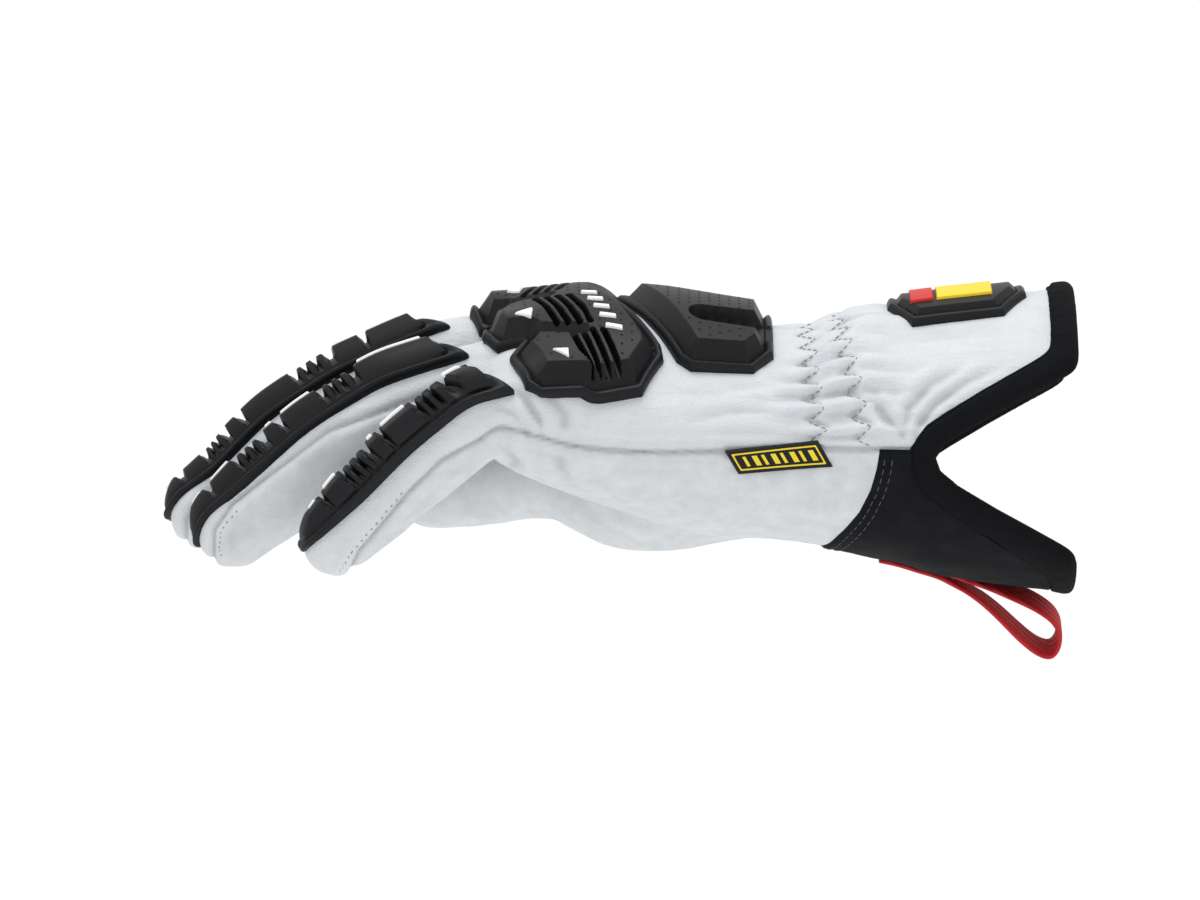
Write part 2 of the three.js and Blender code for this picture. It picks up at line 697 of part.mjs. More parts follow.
// The notch in each side of the cuff, widened by a distance all round. It slants across the cuff, so
// that it lies lower in the thumb's side than in the little finger's.
function notchZone(widen) {
  const apex = CUFF_LENGTH - NOTCH_DEPTH;
  const line = NOTCH_EDGE.map((row) => [apex + row.run * NOTCH_DEPTH, row.rise * NOTCH_RISE]);
  const slab = prism(offsetLine(line, -widen, false), -FAR, FAR);
  slab.applyMatrix4(new THREE.Matrix4().makeShear(0, 0, 0, -NOTCH_FALL / NOTCH_SPAN, 0, 0));
  slab.translate(0, 0, -NOTCH_FALL / 2);
  return toSolid(slab);
}

// Everything within a distance of the cuff's edge, notch and mouth together.
function edgeZone(width) {
  const mouth = prism([
    [CUFF_LENGTH - width, -FAR],
    [FAR, -FAR],
    [FAR, FAR],
    [CUFF_LENGTH - width, FAR],
  ], -FAR, FAR);
  return toSolid(mouth).add(notchZone(width));
}

function panelZone(back) {
  const line = PANEL_EDGE.map((row) => [alongHand(row.along), -row.drop * PALM_DROP]);
  const edge = offsetLine(line, -back, false);
  return toSolid(prism([...edge, [FAR, edge.at(-1)[1]], [FAR, edge[0][1]]], -FAR, FAR));
}

const handOuter = handLoft(0, false);
const handInner = handLoft(-LEATHER, true);
const fingersOuter = fingerLimbs.map((limb) => limbLoft(limb, 0));
const fingersInner = fingerLimbs.map((limb) => limbLoft(limb, -LEATHER));
const thumbOuter = limbLoft(thumbLimb, 0);
const thumbInner = limbLoft(thumbLimb, -LEATHER);
const mitt = joined([handOuter, ...fingersOuter]);
const hollow = joined([handInner, ...fingersInner, thumbInner]);
const shell = mitt.subtract(hollow);
const trimmed = shell.subtract(edgeZone(BINDING_WIDTH + SEAM_GAP));

const back = trimmed.subtract(palmZone(SEAM_GAP));
const under = trimmed.intersect(palmZone(0));
const palm = under.subtract(panelZone(SEAM_GAP));
const panel = under.intersect(panelZone(0));
const fingersGrown = fingerLimbs.map((limb) => limbLoft(limb, SEAM_GAP));
const grownMitt = joined([handLoft(SEAM_GAP, false), ...fingersGrown]);
const thumb = thumbOuter.subtract(hollow).subtract(grownMitt);
const bindingSkin = handLoft(BINDING_PROUD, false).subtract(handLoft(-LEATHER - BINDING_PROUD, true));
const binding = bindingSkin.intersect(edgeZone(BINDING_WIDTH)).subtract(notchZone(0));

addPiece('back_leather', toGeometry(back), WHITE_LEATHER);
addPiece('palm_leather', toGeometry(palm), SUEDE_LEATHER);
addPiece('thumb_leather', toGeometry(thumb), SUEDE_LEATHER);
addPiece('cuff_panel', toGeometry(panel), BLACK_SUEDE);
addPiece('cuff_binding', toGeometry(binding), BLACK_FLEECE);

// The section of the hand at a place along it, between the two nearest of its rows.
function sectionAt(x) {
  let i = 0;
  while (i + 2 < handRows.length && handRows[i + 1].x > x) i += 1;
  const t = THREE.MathUtils.clamp((x - handRows[i].x) / (handRows[i + 1].x - handRows[i].x), 0, 1);
  const keys = Object.keys(handRows[i]);
  return Object.fromEntries(keys.map((key) => [
    key,
    THREE.MathUtils.lerp(handRows[i][key], handRows[i + 1][key], t),
  ]));
}

// Height of the back of the hand over a place.
function handHeight(x, y) {
  const { top, near, far, crown, seam } = sectionAt(x);
  const span = y < crown ? crown - near : far - crown;
  const share = Math.min(1, Math.abs(y - crown) / span);
  return seam + (top - seam) * (1 - share ** CURVE) ** (1 / CURVE);
}

function fingerHeight(limb, x, y) {
  let low = 0;
  let high = limb.length;
  for (let i = 0; i < HALVINGS; i += 1) {
    const middle = (low + high) / 2;
    if (limb.skin(middle, 90, 0).x > x) low = middle;
    else high = middle;
  }
  const crest = limb.skin(low, 90, 0);
  const edge = limb.skin(low, 0, 0);
  const share = (y - crest.y) / (edge.y - crest.y);
  if (Math.abs(share) >= 1) return edge.z;
  return edge.z + (crest.z - edge.z) * Math.sqrt(1 - share * share);
}

// Height of the back of the glove over a place, with the valleys between the fingers filled.
function backHeight(x, y) {
  const heights = [handHeight(x, y), ...fingerLimbs.map((limb) => fingerHeight(limb, x, y))];
  return VALLEY_FILL * Math.log(heights.reduce((sum, z) => sum + Math.exp(z / VALLEY_FILL), 0));
}

// Lays a flat moulding, drawn in x, y and height, on the back of the glove.
function layOnBack(geometry) {
  const at = geometry.attributes.position;
  for (let i = 0; i < at.count; i += 1) {
    const [x, y, rise] = [at.getX(i), at.getY(i), at.getZ(i)];
    const slopeX = (backHeight(x + LAY_STEP, y) - backHeight(x - LAY_STEP, y)) / (2 * LAY_STEP);
    const slopeY = (backHeight(x, y + LAY_STEP) - backHeight(x, y - LAY_STEP)) / (2 * LAY_STEP);
    const normal = new THREE.Vector3(-slopeX, -slopeY, 1).normalize();
    const point = new THREE.Vector3(x, y, backHeight(x, y)).addScaledVector(normal, rise);
    at.setXYZ(i, point.x, point.y, point.z);
  }
  return geometry;
}

function edgeKey(a, b) {
  return a < b ? `${a} ${b}` : `${b} ${a}`;
}

// The three sides of a triangle, each with the corner across from it.
function sidesOf([a, b, c]) {
  return [[a, b, c], [b, c, a], [c, a, b]];
}

// Halves every edge longer than a limit until none is left.
function refine(geometry, limit) {
  const merged = mergeVertices(geometry, 1e-4);
  const points = [];
  for (let i = 0; i < merged.attributes.position.count; i += 1) {
    points.push(new THREE.Vector3().fromBufferAttribute(merged.attributes.position, i));
  }
  let triangles = [];
  for (let i = 0; i < merged.index.count; i += 3) {
    triangles.push([merged.index.array[i], merged.index.array[i + 1], merged.index.array[i + 2]]);
  }
  const span = ([a, b]) => points[a].distanceTo(points[b]);
  for (let pass = 0; pass < HALVINGS; pass += 1) {
    const middles = new Map();
    const next = [];
    for (const triangle of triangles) {
      const [from, to, tip] = sidesOf(triangle).sort((p, q) => span(q) - span(p))[0];
      if (span([from, to]) <= limit) {
        next.push(triangle);
        continue;
      }
      const key = edgeKey(from, to);
      if (!middles.has(key)) {
        points.push(points[from].clone().lerp(points[to], 0.5));
        middles.set(key, points.length - 1);
      }
      next.push([from, middles.get(key), tip], [middles.get(key), to, tip]);
    }
    triangles = mend(next, middles);
    if (middles.size === 0) break;
  }
  return geometryOf(points, triangles);
}

// Splits the neighbours of edges that were halved on one side only.
function mend(triangles, middles) {
  let list = triangles;
  for (let pass = 0; pass < HALVINGS; pass += 1) {
    let changed = false;
    const next = [];
    for (const triangle of list) {
      const side = sidesOf(triangle).find(([a, b]) => middles.has(edgeKey(a, b)));
      if (side) {
        const middle = middles.get(edgeKey(side[0], side[1]));
        next.push([side[0], middle, side[2]], [middle, side[1], side[2]]);
        changed = true;
      } else {
        next.push(triangle);
      }
    }
    list = next;
    if (!changed) break;
  }
  return list;
}

function fromAbove(rows) {
  return rows.map((row) => [-row.ahead * PALM_LENGTH, row.side * HALF_BREADTH]);
}

// Lays a moulding on the back of the glove with its underside a distance off the leather.
function seatOnBack(geometry, limit, off) {
  const fine = refine(geometry, limit);
  fine.translate(0, 0, off);
  return layOnBack(fine);
}

// A moulding with a thin flange and a raised block drawn in from it.
function moulding(outline, height, lean) {
  const clockwise = THREE.ShapeUtils.isClockWise(outline.map(([x, y]) => new THREE.Vector2(x, y)));
  const inward = clockwise ? -1 : 1;
  const flange = toSolid(plate(outline, 0, FLANGE_THICK, 0));
  const drawnIn = offsetLine(outline, inward * FLANGE_WIDTH, true);
  return flange.add(toSolid(plate(drawnIn, FLANGE_THICK / 2, height, inward * lean)));
}

function knuckleGuard() {
  const depth = 2 * (GUARD_HEIGHT - FLANGE_THICK);
  let guard = moulding(fromAbove(KNUCKLE_OUTLINE), GUARD_HEIGHT, WALL_LEAN);
  for (const lobe of LOBES) {
    const x = -lobe.ahead * PALM_LENGTH;
    for (let k = 1; k <= GROOVES; k += 1) {
      const cut = new THREE.BoxGeometry(GROOVE_WIDTH, GROOVE_LENGTH, depth);
      cut.rotateZ(lobe.lean * GROOVE_TURN);
      cut.translate(x + k * RIB_PITCH, lobe.side * HALF_BREADTH, GUARD_HEIGHT);
      guard = guard.subtract(toSolid(cut));
    }
  }
  return seatOnBack(toGeometry(guard), EDGE_LIMIT, BACK_SEAT);
}

function arrowGuard() {
  const guard = moulding(fromAbove(ARROW_OUTLINE), GUARD_HEIGHT, WALL_LEAN);
  return seatOnBack(toGeometry(guard), EDGE_LIMIT, BACK_SEAT);
}

// Closed slab between two grids of points, each grid a list of rows of equal count.
function slab(top, bottom) {
  const across = top[0].length;
  const size = top.length * across;
  const points = [...top.flat(), ...bottom.flat()];
  const triangles = [];
  const spot = (row, column, low) => row * across + column + (low ? size : 0);
  const quad = (a, b, c, d) => triangles.push([a, b, c], [a, c, d]);
  for (let r = 0; r + 1 < top.length; r += 1) {
    for (let c = 0; c + 1 < across; c += 1) {
      quad(spot(r, c), spot(r + 1, c), spot(r + 1, c + 1), spot(r, c + 1));
      quad(spot(r, c, 1), spot(r, c + 1, 1), spot(r + 1, c + 1, 1), spot(r + 1, c, 1));
    }
    quad(spot(r, 0, 1), spot(r + 1, 0, 1), spot(r + 1, 0), spot(r, 0));
    quad(spot(r, across - 1), spot(r + 1, across - 1), spot(r + 1, across - 1, 1), spot(r, across - 1, 1));
  }
  const end = top.length - 1;
  for (let c = 0; c + 1 < across; c += 1) {
    quad(spot(0, c), spot(0, c + 1), spot(0, c + 1, 1), spot(0, c, 1));
    quad(spot(end, c + 1), spot(end, c), spot(end, c, 1), spot(end, c + 1, 1));
  }
  return geometryOf(points, triangles);
}

// Columns across a finger guard: turn is a share of GUARD_HALF_ANGLE, raised marks the block.
const GUARD_COLUMNS = [
  { turn: -1, raised: 0 },
  { turn: -0.74, raised: 0 },
  { turn: -0.45, raised: 1 },
  { turn: 0, raised: 1 },
  { turn: 0.45, raised: 1 },
  { turn: 0.74, raised: 0 },
  { turn: 1, raised: 0 },
];
const HEAD_SHARE = 0.12;
const CHEVRON = 2;
const FORM_LEAN = 0.7;
const LONG_STEP = 14;
const TIP_STEP = 5;
const JOIN_SHARE = 0.012;

// Distance along the finger of a place on its guard; the head and the ribs sweep back at the sides.
function guardDistance(finger, share, turn) {
  const sweep = CHEVRON + (finger.guard.skew - CHEVRON) * Math.max(0, 1 - share / HEAD_SHARE);
  const fade = Math.min(1, (1 - share) / HEAD_SHARE);
  return finger.guard.from + share * finger.guard.length - sweep * fade * Math.abs(turn);
}

// Stations along a finger guard, each a share of its length with the height of its block there.
function guardStations(finger, limb) {
  const lean = FORM_LEAN / finger.guard.length;
  const stations = [{ at: 0, raised: 0 }];
  for (const row of GUARD_PATTERNS[finger.guard.pattern]) {
    if (row.from - stations.at(-1).at > JOIN_SHARE) stations.push({ at: row.from, raised: 0 });
    if (row.form === 'rib') {
      stations.push({ at: (row.from + row.to) / 2, raised: RIB_SHARE });
    } else {
      stations.push({ at: row.from + lean, raised: 1 }, { at: row.to - lean, raised: 1 });
    }
    stations.push({ at: row.to, raised: 0 });
  }
  stations.push({ at: 1, raised: 0 });
  const full = [stations[0]];
  for (const station of stations.slice(1)) {
    const last = full.at(-1);
    const beyond = guardDistance(finger, station.at, 0) > limb.length;
    const pieces = Math.ceil((station.at - last.at) * finger.guard.length / (beyond ? TIP_STEP : LONG_STEP));
    for (let k = 1; k <= pieces; k += 1) {
      full.push({
        at: THREE.MathUtils.lerp(last.at, station.at, k / pieces),
        raised: THREE.MathUtils.lerp(last.raised, station.raised, k / pieces),
      });
    }
  }
  return full;
}

// Raises a point that would lie under the back of the hand, so a guard's head rides up onto it.
function overHand(point, lift) {
  const floor = handHeight(point.x, point.y) + BACK_SEAT + lift - SEAT;
  if (point.x > handRows.at(-1).x - SEAT && point.z < floor) point.z = floor;
  return point;
}

function fingerGuard(finger, limb) {
  const stations = guardStations(finger, limb);
  const grid = (height) => stations.map((station) => GUARD_COLUMNS.map((column) => {
    const lift = SEAT + height(station.raised * column.raised);
    const distance = guardDistance(finger, station.at, column.turn);
    return overHand(limb.skin(distance, 90 + column.turn * GUARD_HALF_ANGLE, lift), lift);
  }));
  return slab(grid((raised) => FLANGE_THICK + raised * (GUARD_HEIGHT - FLANGE_THICK)), grid(() => 0));
}

// A white bar set on a raised block of a finger guard.
function guardBar(finger, limb, [from, to]) {
  const stops = [0, 0.5, 1].map((t) => THREE.MathUtils.lerp(from, to, t));
  const base = SEAT + GUARD_HEIGHT + SEAM_GAP;
  const grid = (height) => stops.map((share) => [-BAR_HALF_TURN, BAR_HALF_TURN].map((turn) => limb.skin(
    guardDistance(finger, share, 0),
    90 + turn * GUARD_HALF_ANGLE,
    height,
  )));
  return slab(grid(base + TRIM_THICK), grid(base));
}

FINGERS.forEach((finger, i) => {
  const limb = fingerLimbs[i];
  addPiece(`${finger.name}_guard`, fingerGuard(finger, limb), BLACK_RUBBER);
  GUARD_PATTERNS[finger.guard.pattern].filter((row) => row.bar).forEach((row, k) => {
    addPiece(`${finger.name}_bar_${k + 1}`, guardBar(finger, limb, row.bar), WHITE_RUBBER);
  });
});

addPiece('knuckle_guard', knuckleGuard(), BLACK_RUBBER);
addPiece('arrow_guard', arrowGuard(), BLACK_RUBBER);

// A thin plate on the raised face of a guard, from an outline about a place on it.
function trimPlate(x, y, outline, base) {
  const flat = plate(outline.map(([a, b]) => [x + a, y + b]), 0, TRIM_THICK, 0);
  return seatOnBack(flat, PLATE_LIMIT, base);
}

const GUARD_FACE = BACK_SEAT + GUARD_HEIGHT + SEAM_GAP;
LOBES.forEach((lobe, k) => {
  const x = -lobe.ahead * PALM_LENGTH - TRIANGLE_AHEAD;
  const outline = [
    [-TRIANGLE_SIZE / 2, 0],
    [TRIANGLE_SIZE / 2, TRIANGLE_SIZE / 2],
    [TRIANGLE_SIZE / 2, -TRIANGLE_SIZE / 2],
  ];
  const geometry = trimPlate(x, lobe.side * HALF_BREADTH, outline, GUARD_FACE);
  addPiece(`knuckle_triangle_${k + 1}`, geometry, WHITE_RUBBER);
});

// A row of plain slanting bars along the band behind the ribs.
for (let k = 0; k < BAND_BARS; k += 1) {
  const x = -BAND_START.ahead + k * BAND_STEP.back;
  const y = BAND_START.side + k * BAND_STEP.across;
  const outline = [
    [-BAND_BAR.length / 2, -BAND_BAR.width / 2],
    [BAND_BAR.length / 2, -BAND_BAR.width / 2 - BAND_BAR.slant],
    [BAND_BAR.length / 2, BAND_BAR.width / 2 - BAND_BAR.slant],
    [-BAND_BAR.length / 2, BAND_BAR.width / 2],
  ];
  addPiece(`band_bar_${k + 1}`, trimPlate(x, y, outline, GUARD_FACE), WHITE_RUBBER);
}

// Outline of the badge on the cuff: along is a share of BADGE_LENGTH, side of half BADGE_WIDTH.
const BADGE_OUTLINE = [
  { along: 0, side: -0.3 },
  { along: 0.17, side: -1 },
  { along: 0.83, side: -1 },
  { along: 1, side: -0.3 },
  { along: 1, side: 0.3 },
  { along: 0.83, side: 1 },
  { along: 0.17, side: 1 },
  { along: 0, side: 0.3 },
];

function badge() {
  const outline = BADGE_OUTLINE.map((row) => [
    BADGE_START + row.along * BADGE_LENGTH,
    BADGE_MIDDLE + row.side * BADGE_WIDTH / 2,
  ]);
  return seatOnBack(toGeometry(moulding(outline, BADGE_HEIGHT, WALL_LEAN / 2)), EDGE_LIMIT, BACK_SEAT);
}

function badgePlate([from, to]) {
  const x0 = from * BADGE_LENGTH;
  const x1 = to * BADGE_LENGTH;
  const half = (BADGE_PLATE_SHARE * BADGE_WIDTH) / 2;
  const outline = [[x0, -half], [x1, -half], [x1, half], [x0, half]];
  return trimPlate(BADGE_START, BADGE_MIDDLE, outline, BACK_SEAT + BADGE_HEIGHT + SEAM_GAP);
}

addPiece('cuff_badge', badge(), BLACK_RUBBER);
addPiece('badge_red_plate', badgePlate(RED_PLATE), RED_RUBBER);
addPiece('badge_yellow_plate', badgePlate(YELLOW_PLATE), YELLOW_RUBBER);

// Near face of the hand at a place along it and a height.
function sideFace(x, z) {
  const { top, bottom, near, crown, seam } = sectionAt(x);
  const power = z > seam ? CURVE : PALM_CURVE;
  const limit = z > seam ? top : bottom;
  const share = Math.min(1, Math.abs((z - seam) / (limit - seam)));
  return crown + (near - crown) * (1 - share ** power) ** (1 / power);
}

function sideLabel() {
  const columns = [0, 0.34, 0.67, 1];
  const rows = [0, 0.2, 0.4, 0.6, 0.8, 1];
  const grid = (off) => rows.map((run) => columns.map((down) => {
    const x = -LABEL_START + run * LABEL_LENGTH + down * LABEL_SLANT;
    const z = LABEL_TOP + run * LABEL_LENGTH * LABEL_TILT - down * LABEL_HEIGHT;
    return new THREE.Vector3(x, sideFace(x, z) - off, z);
  }));
  return slab(grid(LABEL_SEAT + LABEL_THICK), grid(LABEL_SEAT));
}

addPiece('side_label', sideLabel(), BLACK_FLEECE);

// Free part of the pull loop, out along the upper strand and back along the lower: run is a share of
// LOOP_LENGTH and drop of LOOP_DROP. The tail under the cuff lies at shares of CUFF_LENGTH.
const LOOP_UPPER = [
  { run: 0.12, drop: 0.1 },
  { run: 0.25, drop: 0.15 },
  { run: 0.43, drop: 0.21 },
  { run: 0.7, drop: 0.35 },
  { run: 0.9, drop: 0.49 },
  { run: 0.98, drop: 0.62 },
  { run: 1, drop: 0.77 },
];
const LOOP_LOWER = [
  { run: 0.97, drop: 0.92 },
  { run: 0.88, drop: 1 },
  { run: 0.7, drop: 0.88 },
  { run: 0.43, drop: 0.51 },
  { run: 0.25, drop: 0.33 },
  { run: 0.12, drop: 0.24 },
];
const LOOP_TAIL = [0.19, 0.27, 0.35, 0.435];

function pullLoop() {
  const tail = LOOP_TAIL.map((share) => share * CUFF_LENGTH);
  const seat = tail.map((x) => [x, sectionAt(x).bottom - SEAM_GAP]);
  const [startX, startZ] = seat.at(-1);
  const place = (row) => [startX + row.run * LOOP_LENGTH, startZ - row.drop * LOOP_DROP];
  const under = seat.map(([x, z]) => [x, z - 2 * LOOP_THICK]).reverse();
  const outline = [...seat, ...LOOP_UPPER.map(place), ...LOOP_LOWER.map(place), ...under];
  const eye = [...LOOP_UPPER.slice(1).map(place), ...LOOP_LOWER.slice(0, -1).map(place)];
  const shape = new THREE.Shape(outline.map(([x, z]) => new THREE.Vector2(x, z)));
  const hole = offsetLine(eye, -LOOP_THICK, true).reverse();
  shape.holes.push(new THREE.Path(hole.map(([x, z]) => new THREE.Vector2(x, z))));
  const geometry = new THREE.ExtrudeGeometry(shape, { depth: LOOP_WIDTH, bevelEnabled: false });
  geometry.rotateX(Math.PI / 2);
  geometry.translate(0, BADGE_MIDDLE + LOOP_WIDTH / 2, 0);
  return geometry;
}

addPiece('pull_loop', pullLoop(), RED_WEBBING);

export default glove;
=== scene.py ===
import bpy
import numpy as np
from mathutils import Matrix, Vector
from mathutils.bvhtree import BVHTree


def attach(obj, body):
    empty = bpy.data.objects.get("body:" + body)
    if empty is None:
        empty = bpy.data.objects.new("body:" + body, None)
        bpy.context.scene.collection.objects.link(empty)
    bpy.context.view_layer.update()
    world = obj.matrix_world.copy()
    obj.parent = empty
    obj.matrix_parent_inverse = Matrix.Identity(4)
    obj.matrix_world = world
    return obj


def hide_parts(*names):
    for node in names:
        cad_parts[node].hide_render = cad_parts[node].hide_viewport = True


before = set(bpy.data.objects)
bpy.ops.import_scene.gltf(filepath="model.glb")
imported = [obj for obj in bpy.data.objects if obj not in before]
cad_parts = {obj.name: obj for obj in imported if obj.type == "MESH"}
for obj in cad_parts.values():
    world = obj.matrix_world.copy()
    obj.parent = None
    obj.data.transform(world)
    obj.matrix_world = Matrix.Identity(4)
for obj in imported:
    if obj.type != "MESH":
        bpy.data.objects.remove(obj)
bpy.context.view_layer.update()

# Camera and studio.
# A long lens looks along +Y from 9 degrees above the side of the hand. The glove is held up, so
# the pale floor lies well below it, with a white wall of light behind and soft lights around.
VIEW_TARGET = Vector((-0.061, 0.0, -0.0048))
VIEW_DISTANCE = 2.6
VIEW_RISE = np.radians(9.0)
VIEW_WIDTH = 0.3117
SENSOR_WIDTH = 36.0
WORLD_LIGHT = 0.85

camera = bpy.data.objects.new("camera", bpy.data.cameras.new("camera"))
bpy.context.scene.collection.objects.link(camera)
away = Vector((0.0, -np.cos(VIEW_RISE), np.sin(VIEW_RISE)))
camera.location = VIEW_TARGET + away * VIEW_DISTANCE
camera.rotation_mode = "QUATERNION"
camera.rotation_quaternion = (-away).to_track_quat("-Z", "Y")
camera.data.sensor_width = SENSOR_WIDTH
camera.data.lens = SENSOR_WIDTH * VIEW_DISTANCE / VIEW_WIDTH
camera.data.clip_start = 0.1
camera.data.clip_end = 30.0
bpy.context.scene.camera = camera


def add_light(name, place, aim, size, power):
    """A white rectangular soft light; places and sizes in metres, power in watts."""
    data = bpy.data.lights.new(name, "AREA")
    data.shape = "RECTANGLE"
    data.size, data.size_y = size
    data.energy = power
    lamp = bpy.data.objects.new(name, data)
    bpy.context.scene.collection.objects.link(lamp)
    lamp.location = Vector(place)
    lamp.rotation_mode = "QUATERNION"
    lamp.rotation_quaternion = (Vector(aim) - lamp.location).to_track_quat("-Z", "Y")


add_light("top_softbox", place=(-0.1, 0.1, 1.1), aim=(-0.05, 0.0, 0.0),
          size=(0.8, 0.6), power=6.4)
add_light("front_softbox", place=(-0.7, -1.6, 0.7), aim=(-0.05, 0.0, 0.0),
          size=(0.9, 0.9), power=2.0)
add_light("side_softbox", place=(1.2, -0.8, 0.35), aim=(-0.03, 0.0, 0.0),
          size=(0.7, 0.7), power=1.0)
world = bpy.data.worlds.new("studio")
bpy.context.scene.world = world
world.use_nodes = True
background = world.node_tree.nodes["Background"]
background.inputs["Color"].default_value = (1.0, 1.0, 1.0, 1.0)
background.inputs["Strength"].default_value = WORLD_LIGHT
bpy.context.scene.view_settings.view_transform = "Standard"

# Form of the glove.
# Sections of the hand in millimetres from the cuff's mouth to the finger roots, and the centre
# lines of the fingers and the thumb, shared by the leather and by all that is set on it.
MM = 0.001
HAND_COLUMNS = ("x", "top", "bottom", "near", "far", "crown", "seam")
HAND_ROWS = [
    (62, 36.8, -40.96, -40.92, 41.8, 5.28, 0.96),
    (40.92, 34.56, -38.4, -38.28, 39.16, 5.28, 0.96),
    (26.04, 32.96, -36.8, -36.96, 37.84, 5.28, 0.96),
    (16.12, 31.68, -33.28, -36.08, 36.96, 5.28, 0.96),
    (8.06, 32.96, -32, -35.64, 36.52, 5.28, 0.96),
    (3.1, 30.72, -31.04, -35.2, 36.08, 5.28, 0.96),
    (-3.08, 27.52, -29.44, -34.98, 35.64, 5.28, 0.96),
    (-10.12, 26.56, -28.48, -35.2, 35.64, 5.28, 0.96),
    (-17.16, 26.88, -27.84, -35.86, 36.52, 5.28, 0.96),
    (-29.92, 28.8, -26.88, -37.84, 38.28, 5.72, 0.96),
    (-44, 31.04, -24, -40.48, 40.48, 6.6, 0.96),
    (-57.2, 32, -19.2, -42.24, 41.8, 7.92, 1.6),
    (-69.08, 31.52, -15.04, -43.12, 43.12, 7.92, 3.2),
    (-80.08, 29.76, -10.56, -43.12, 44, 7.92, 6.4),
    (-87.12, 26.88, -6.4, -42.24, 43.56, 7.92, 8),
    (-91.52, 22.4, -1.28, -40.04, 41.8, 7.92, 8.64),
    (-94.16, 16.64, 5.12, -36.96, 38.72, 7.92, 9.6),
]
BACK_CURVE = 1.9
PALM_CURVE = 2.3
ROOT_X = -66.0
TIP_TAPER = 0.22
TIP_LOWER = 0.9
HAND_BLUR = (24, 9.0)
LIMB_BLUR = (30, 11.0)
STATIONS = 625
HAND_RINGS = 170
HAND_TURNS = 120
LIMB_RINGS = 60
DOME_RINGS = 12
LIMB_TURNS = 48
FINGERS = [
    dict(
        name="little", root=-31.5, reach=63.5, splay=-5.0, high=10.4, wide=9.8,
        bends=[(-66, -31.5, 9.6), (-78.06, -32.45, 11.2), (-92.03, -33.55, 8.6),
               (-107.28, -34.75, -4.2), (-118.07, -35.6, -14.03), (-129.0, -36.5, -22.52)],
        seam=[(-83.78, 8.48), (-101.31, -0.51), (-110.45, -9.62), (-122.32, -24.69),
              (-127.79, -38.02)],
    ),
    dict(
        name="ring", root=-10.5, reach=89.5, splay=-1.5, high=12.8, wide=10.3,
        bends=[(-66, -10.5, 16), (-84.8, -10.81, 15.1), (-98.22, -11.04, 11.2),
               (-112.99, -11.29, 6.3), (-130.98, -11.59, -4.7), (-143.87, -11.8, -14.4),
               (-155.5, -12, -22.9)],
        seam=[(-83.9, 17.09), (-94.64, 17.09), (-131.16, 3.23), (-149.41, -10.5),
              (-156.13, -15.68), (-160.87, -22.69), (-161.59, -38.75)],
    ),
    dict(
        name="middle", root=10.5, reach=98.0, splay=1.5, high=12.3, wide=10.4,
        bends=[(-66, 10.5, 16.96), (-84.62, 10.79, 18.2), (-96.97, 10.97, 17.6),
               (-110.1, 11.18, 11.9), (-124.8, 11.4, 5.0), (-140.97, 11.65, -4.5),
               (-154.2, 11.85, -16.3), (-164, 12, -22.4)],
        seam=[(-84.62, 18.12), (-97.36, 18.12), (-137.34, 1.56), (-157.34, -11.53),
              (-164, -16.46), (-168.9, -23.85), (-169.88, -40.79)],
    ),
    dict(
        name="index", root=31.5, reach=89.0, splay=5.0, high=12.0, wide=10.4,
        bends=[(-66, 31.5, 13.76), (-83.8, 32.5, 13.76), (-97.15, 33.25, 11.34),
               (-109.61, 33.95, 5.82), (-124.74, 34.8, -2.11), (-140.76, 35.7, -12.81),
               (-155, 36.5, -20.74)],
        seam=[(-83.8, 14.79), (-94.48, 14.79), (-130.79, -0.73), (-148.95, -11.77),
              (-155, -16.19), (-159.45, -22.81), (-160.34, -39.72)],
    ),
]
# Each thumb row gives a place on its centre line, then its half height and half width.
THUMB_ROWS = [
    (-4.16, 7.92, -12, 10.88, 14.08),
    (-17.68, 11.88, -14.08, 15.62, 16.96),
    (-30.16, 14.96, -15.04, 16.8, 18.56),
    (-41.6, 18.04, -16.48, 17.41, 18.88),
    (-52, 21.12, -16.96, 17.98, 18.88),
    (-59.8, 23.98, -16.96, 16.48, 17.92),
    (-66.04, 26.4, -16.48, 13.6, 16),
    (-70.72, 28.6, -16, 11.84, 14.08),
    (-80.08, 29.92, -16, 11.58, 12.48),
    (-92.04, 30.8, -17.79, 12, 12),
    (-104, 32.12, -18.72, 12, 11.84),
]


def softened(places, knots, values, reach, width):
    """Values between knots at even places, rounded off as leather rounds over a hand."""
    kernel = np.exp(-0.5 * (np.arange(-reach, reach + 1) / width) ** 2)
    kernel /= kernel.sum()
    padded = np.pad(np.interp(places, knots, values), reach, mode="reflect", reflect_type="odd")
    return np.convolve(padded, kernel, mode="valid")


hand_table = np.array(HAND_ROWS, float)[::-1]
station_x = np.linspace(hand_table[0, 0], hand_table[-1, 0], STATIONS)
hand_fine = {column: softened(station_x, hand_table[:, 0], values, *HAND_BLUR)
             for column, values in zip(HAND_COLUMNS[1:], hand_table.T[1:])}


def hand_at(x, column):
    return np.interp(x, station_x, hand_fine[column])


def hand_ring(x, angles, grow):
    """Points round the hand at places along it; angle 0 is the near seam, 90 degrees the back."""
    cosine, sine = np.cos(angles), np.sin(angles)
    power = np.where(sine >= 0, 2.0 / BACK_CURVE, 2.0 / PALM_CURVE)
    crown, seam = hand_at(x, "crown"), hand_at(x, "seam")
    side = np.where(cosine > 0, hand_at(x, "near") - grow, hand_at(x, "far") + grow)
    limit = np.where(sine >= 0, hand_at(x, "top") + grow, hand_at(x, "bottom") - grow)
    y = crown + (side - crown) * np.abs(cosine) ** power
    z = seam + (limit - seam) * np.abs(sine) ** power
    return np.stack(np.broadcast_arrays(x, y, z), axis=-1)


def smoothstep(low, high, value):
    t = np.clip((value - low) / (high - low), 0.0, 1.0)
    return t * t * (3.0 - 2.0 * t)


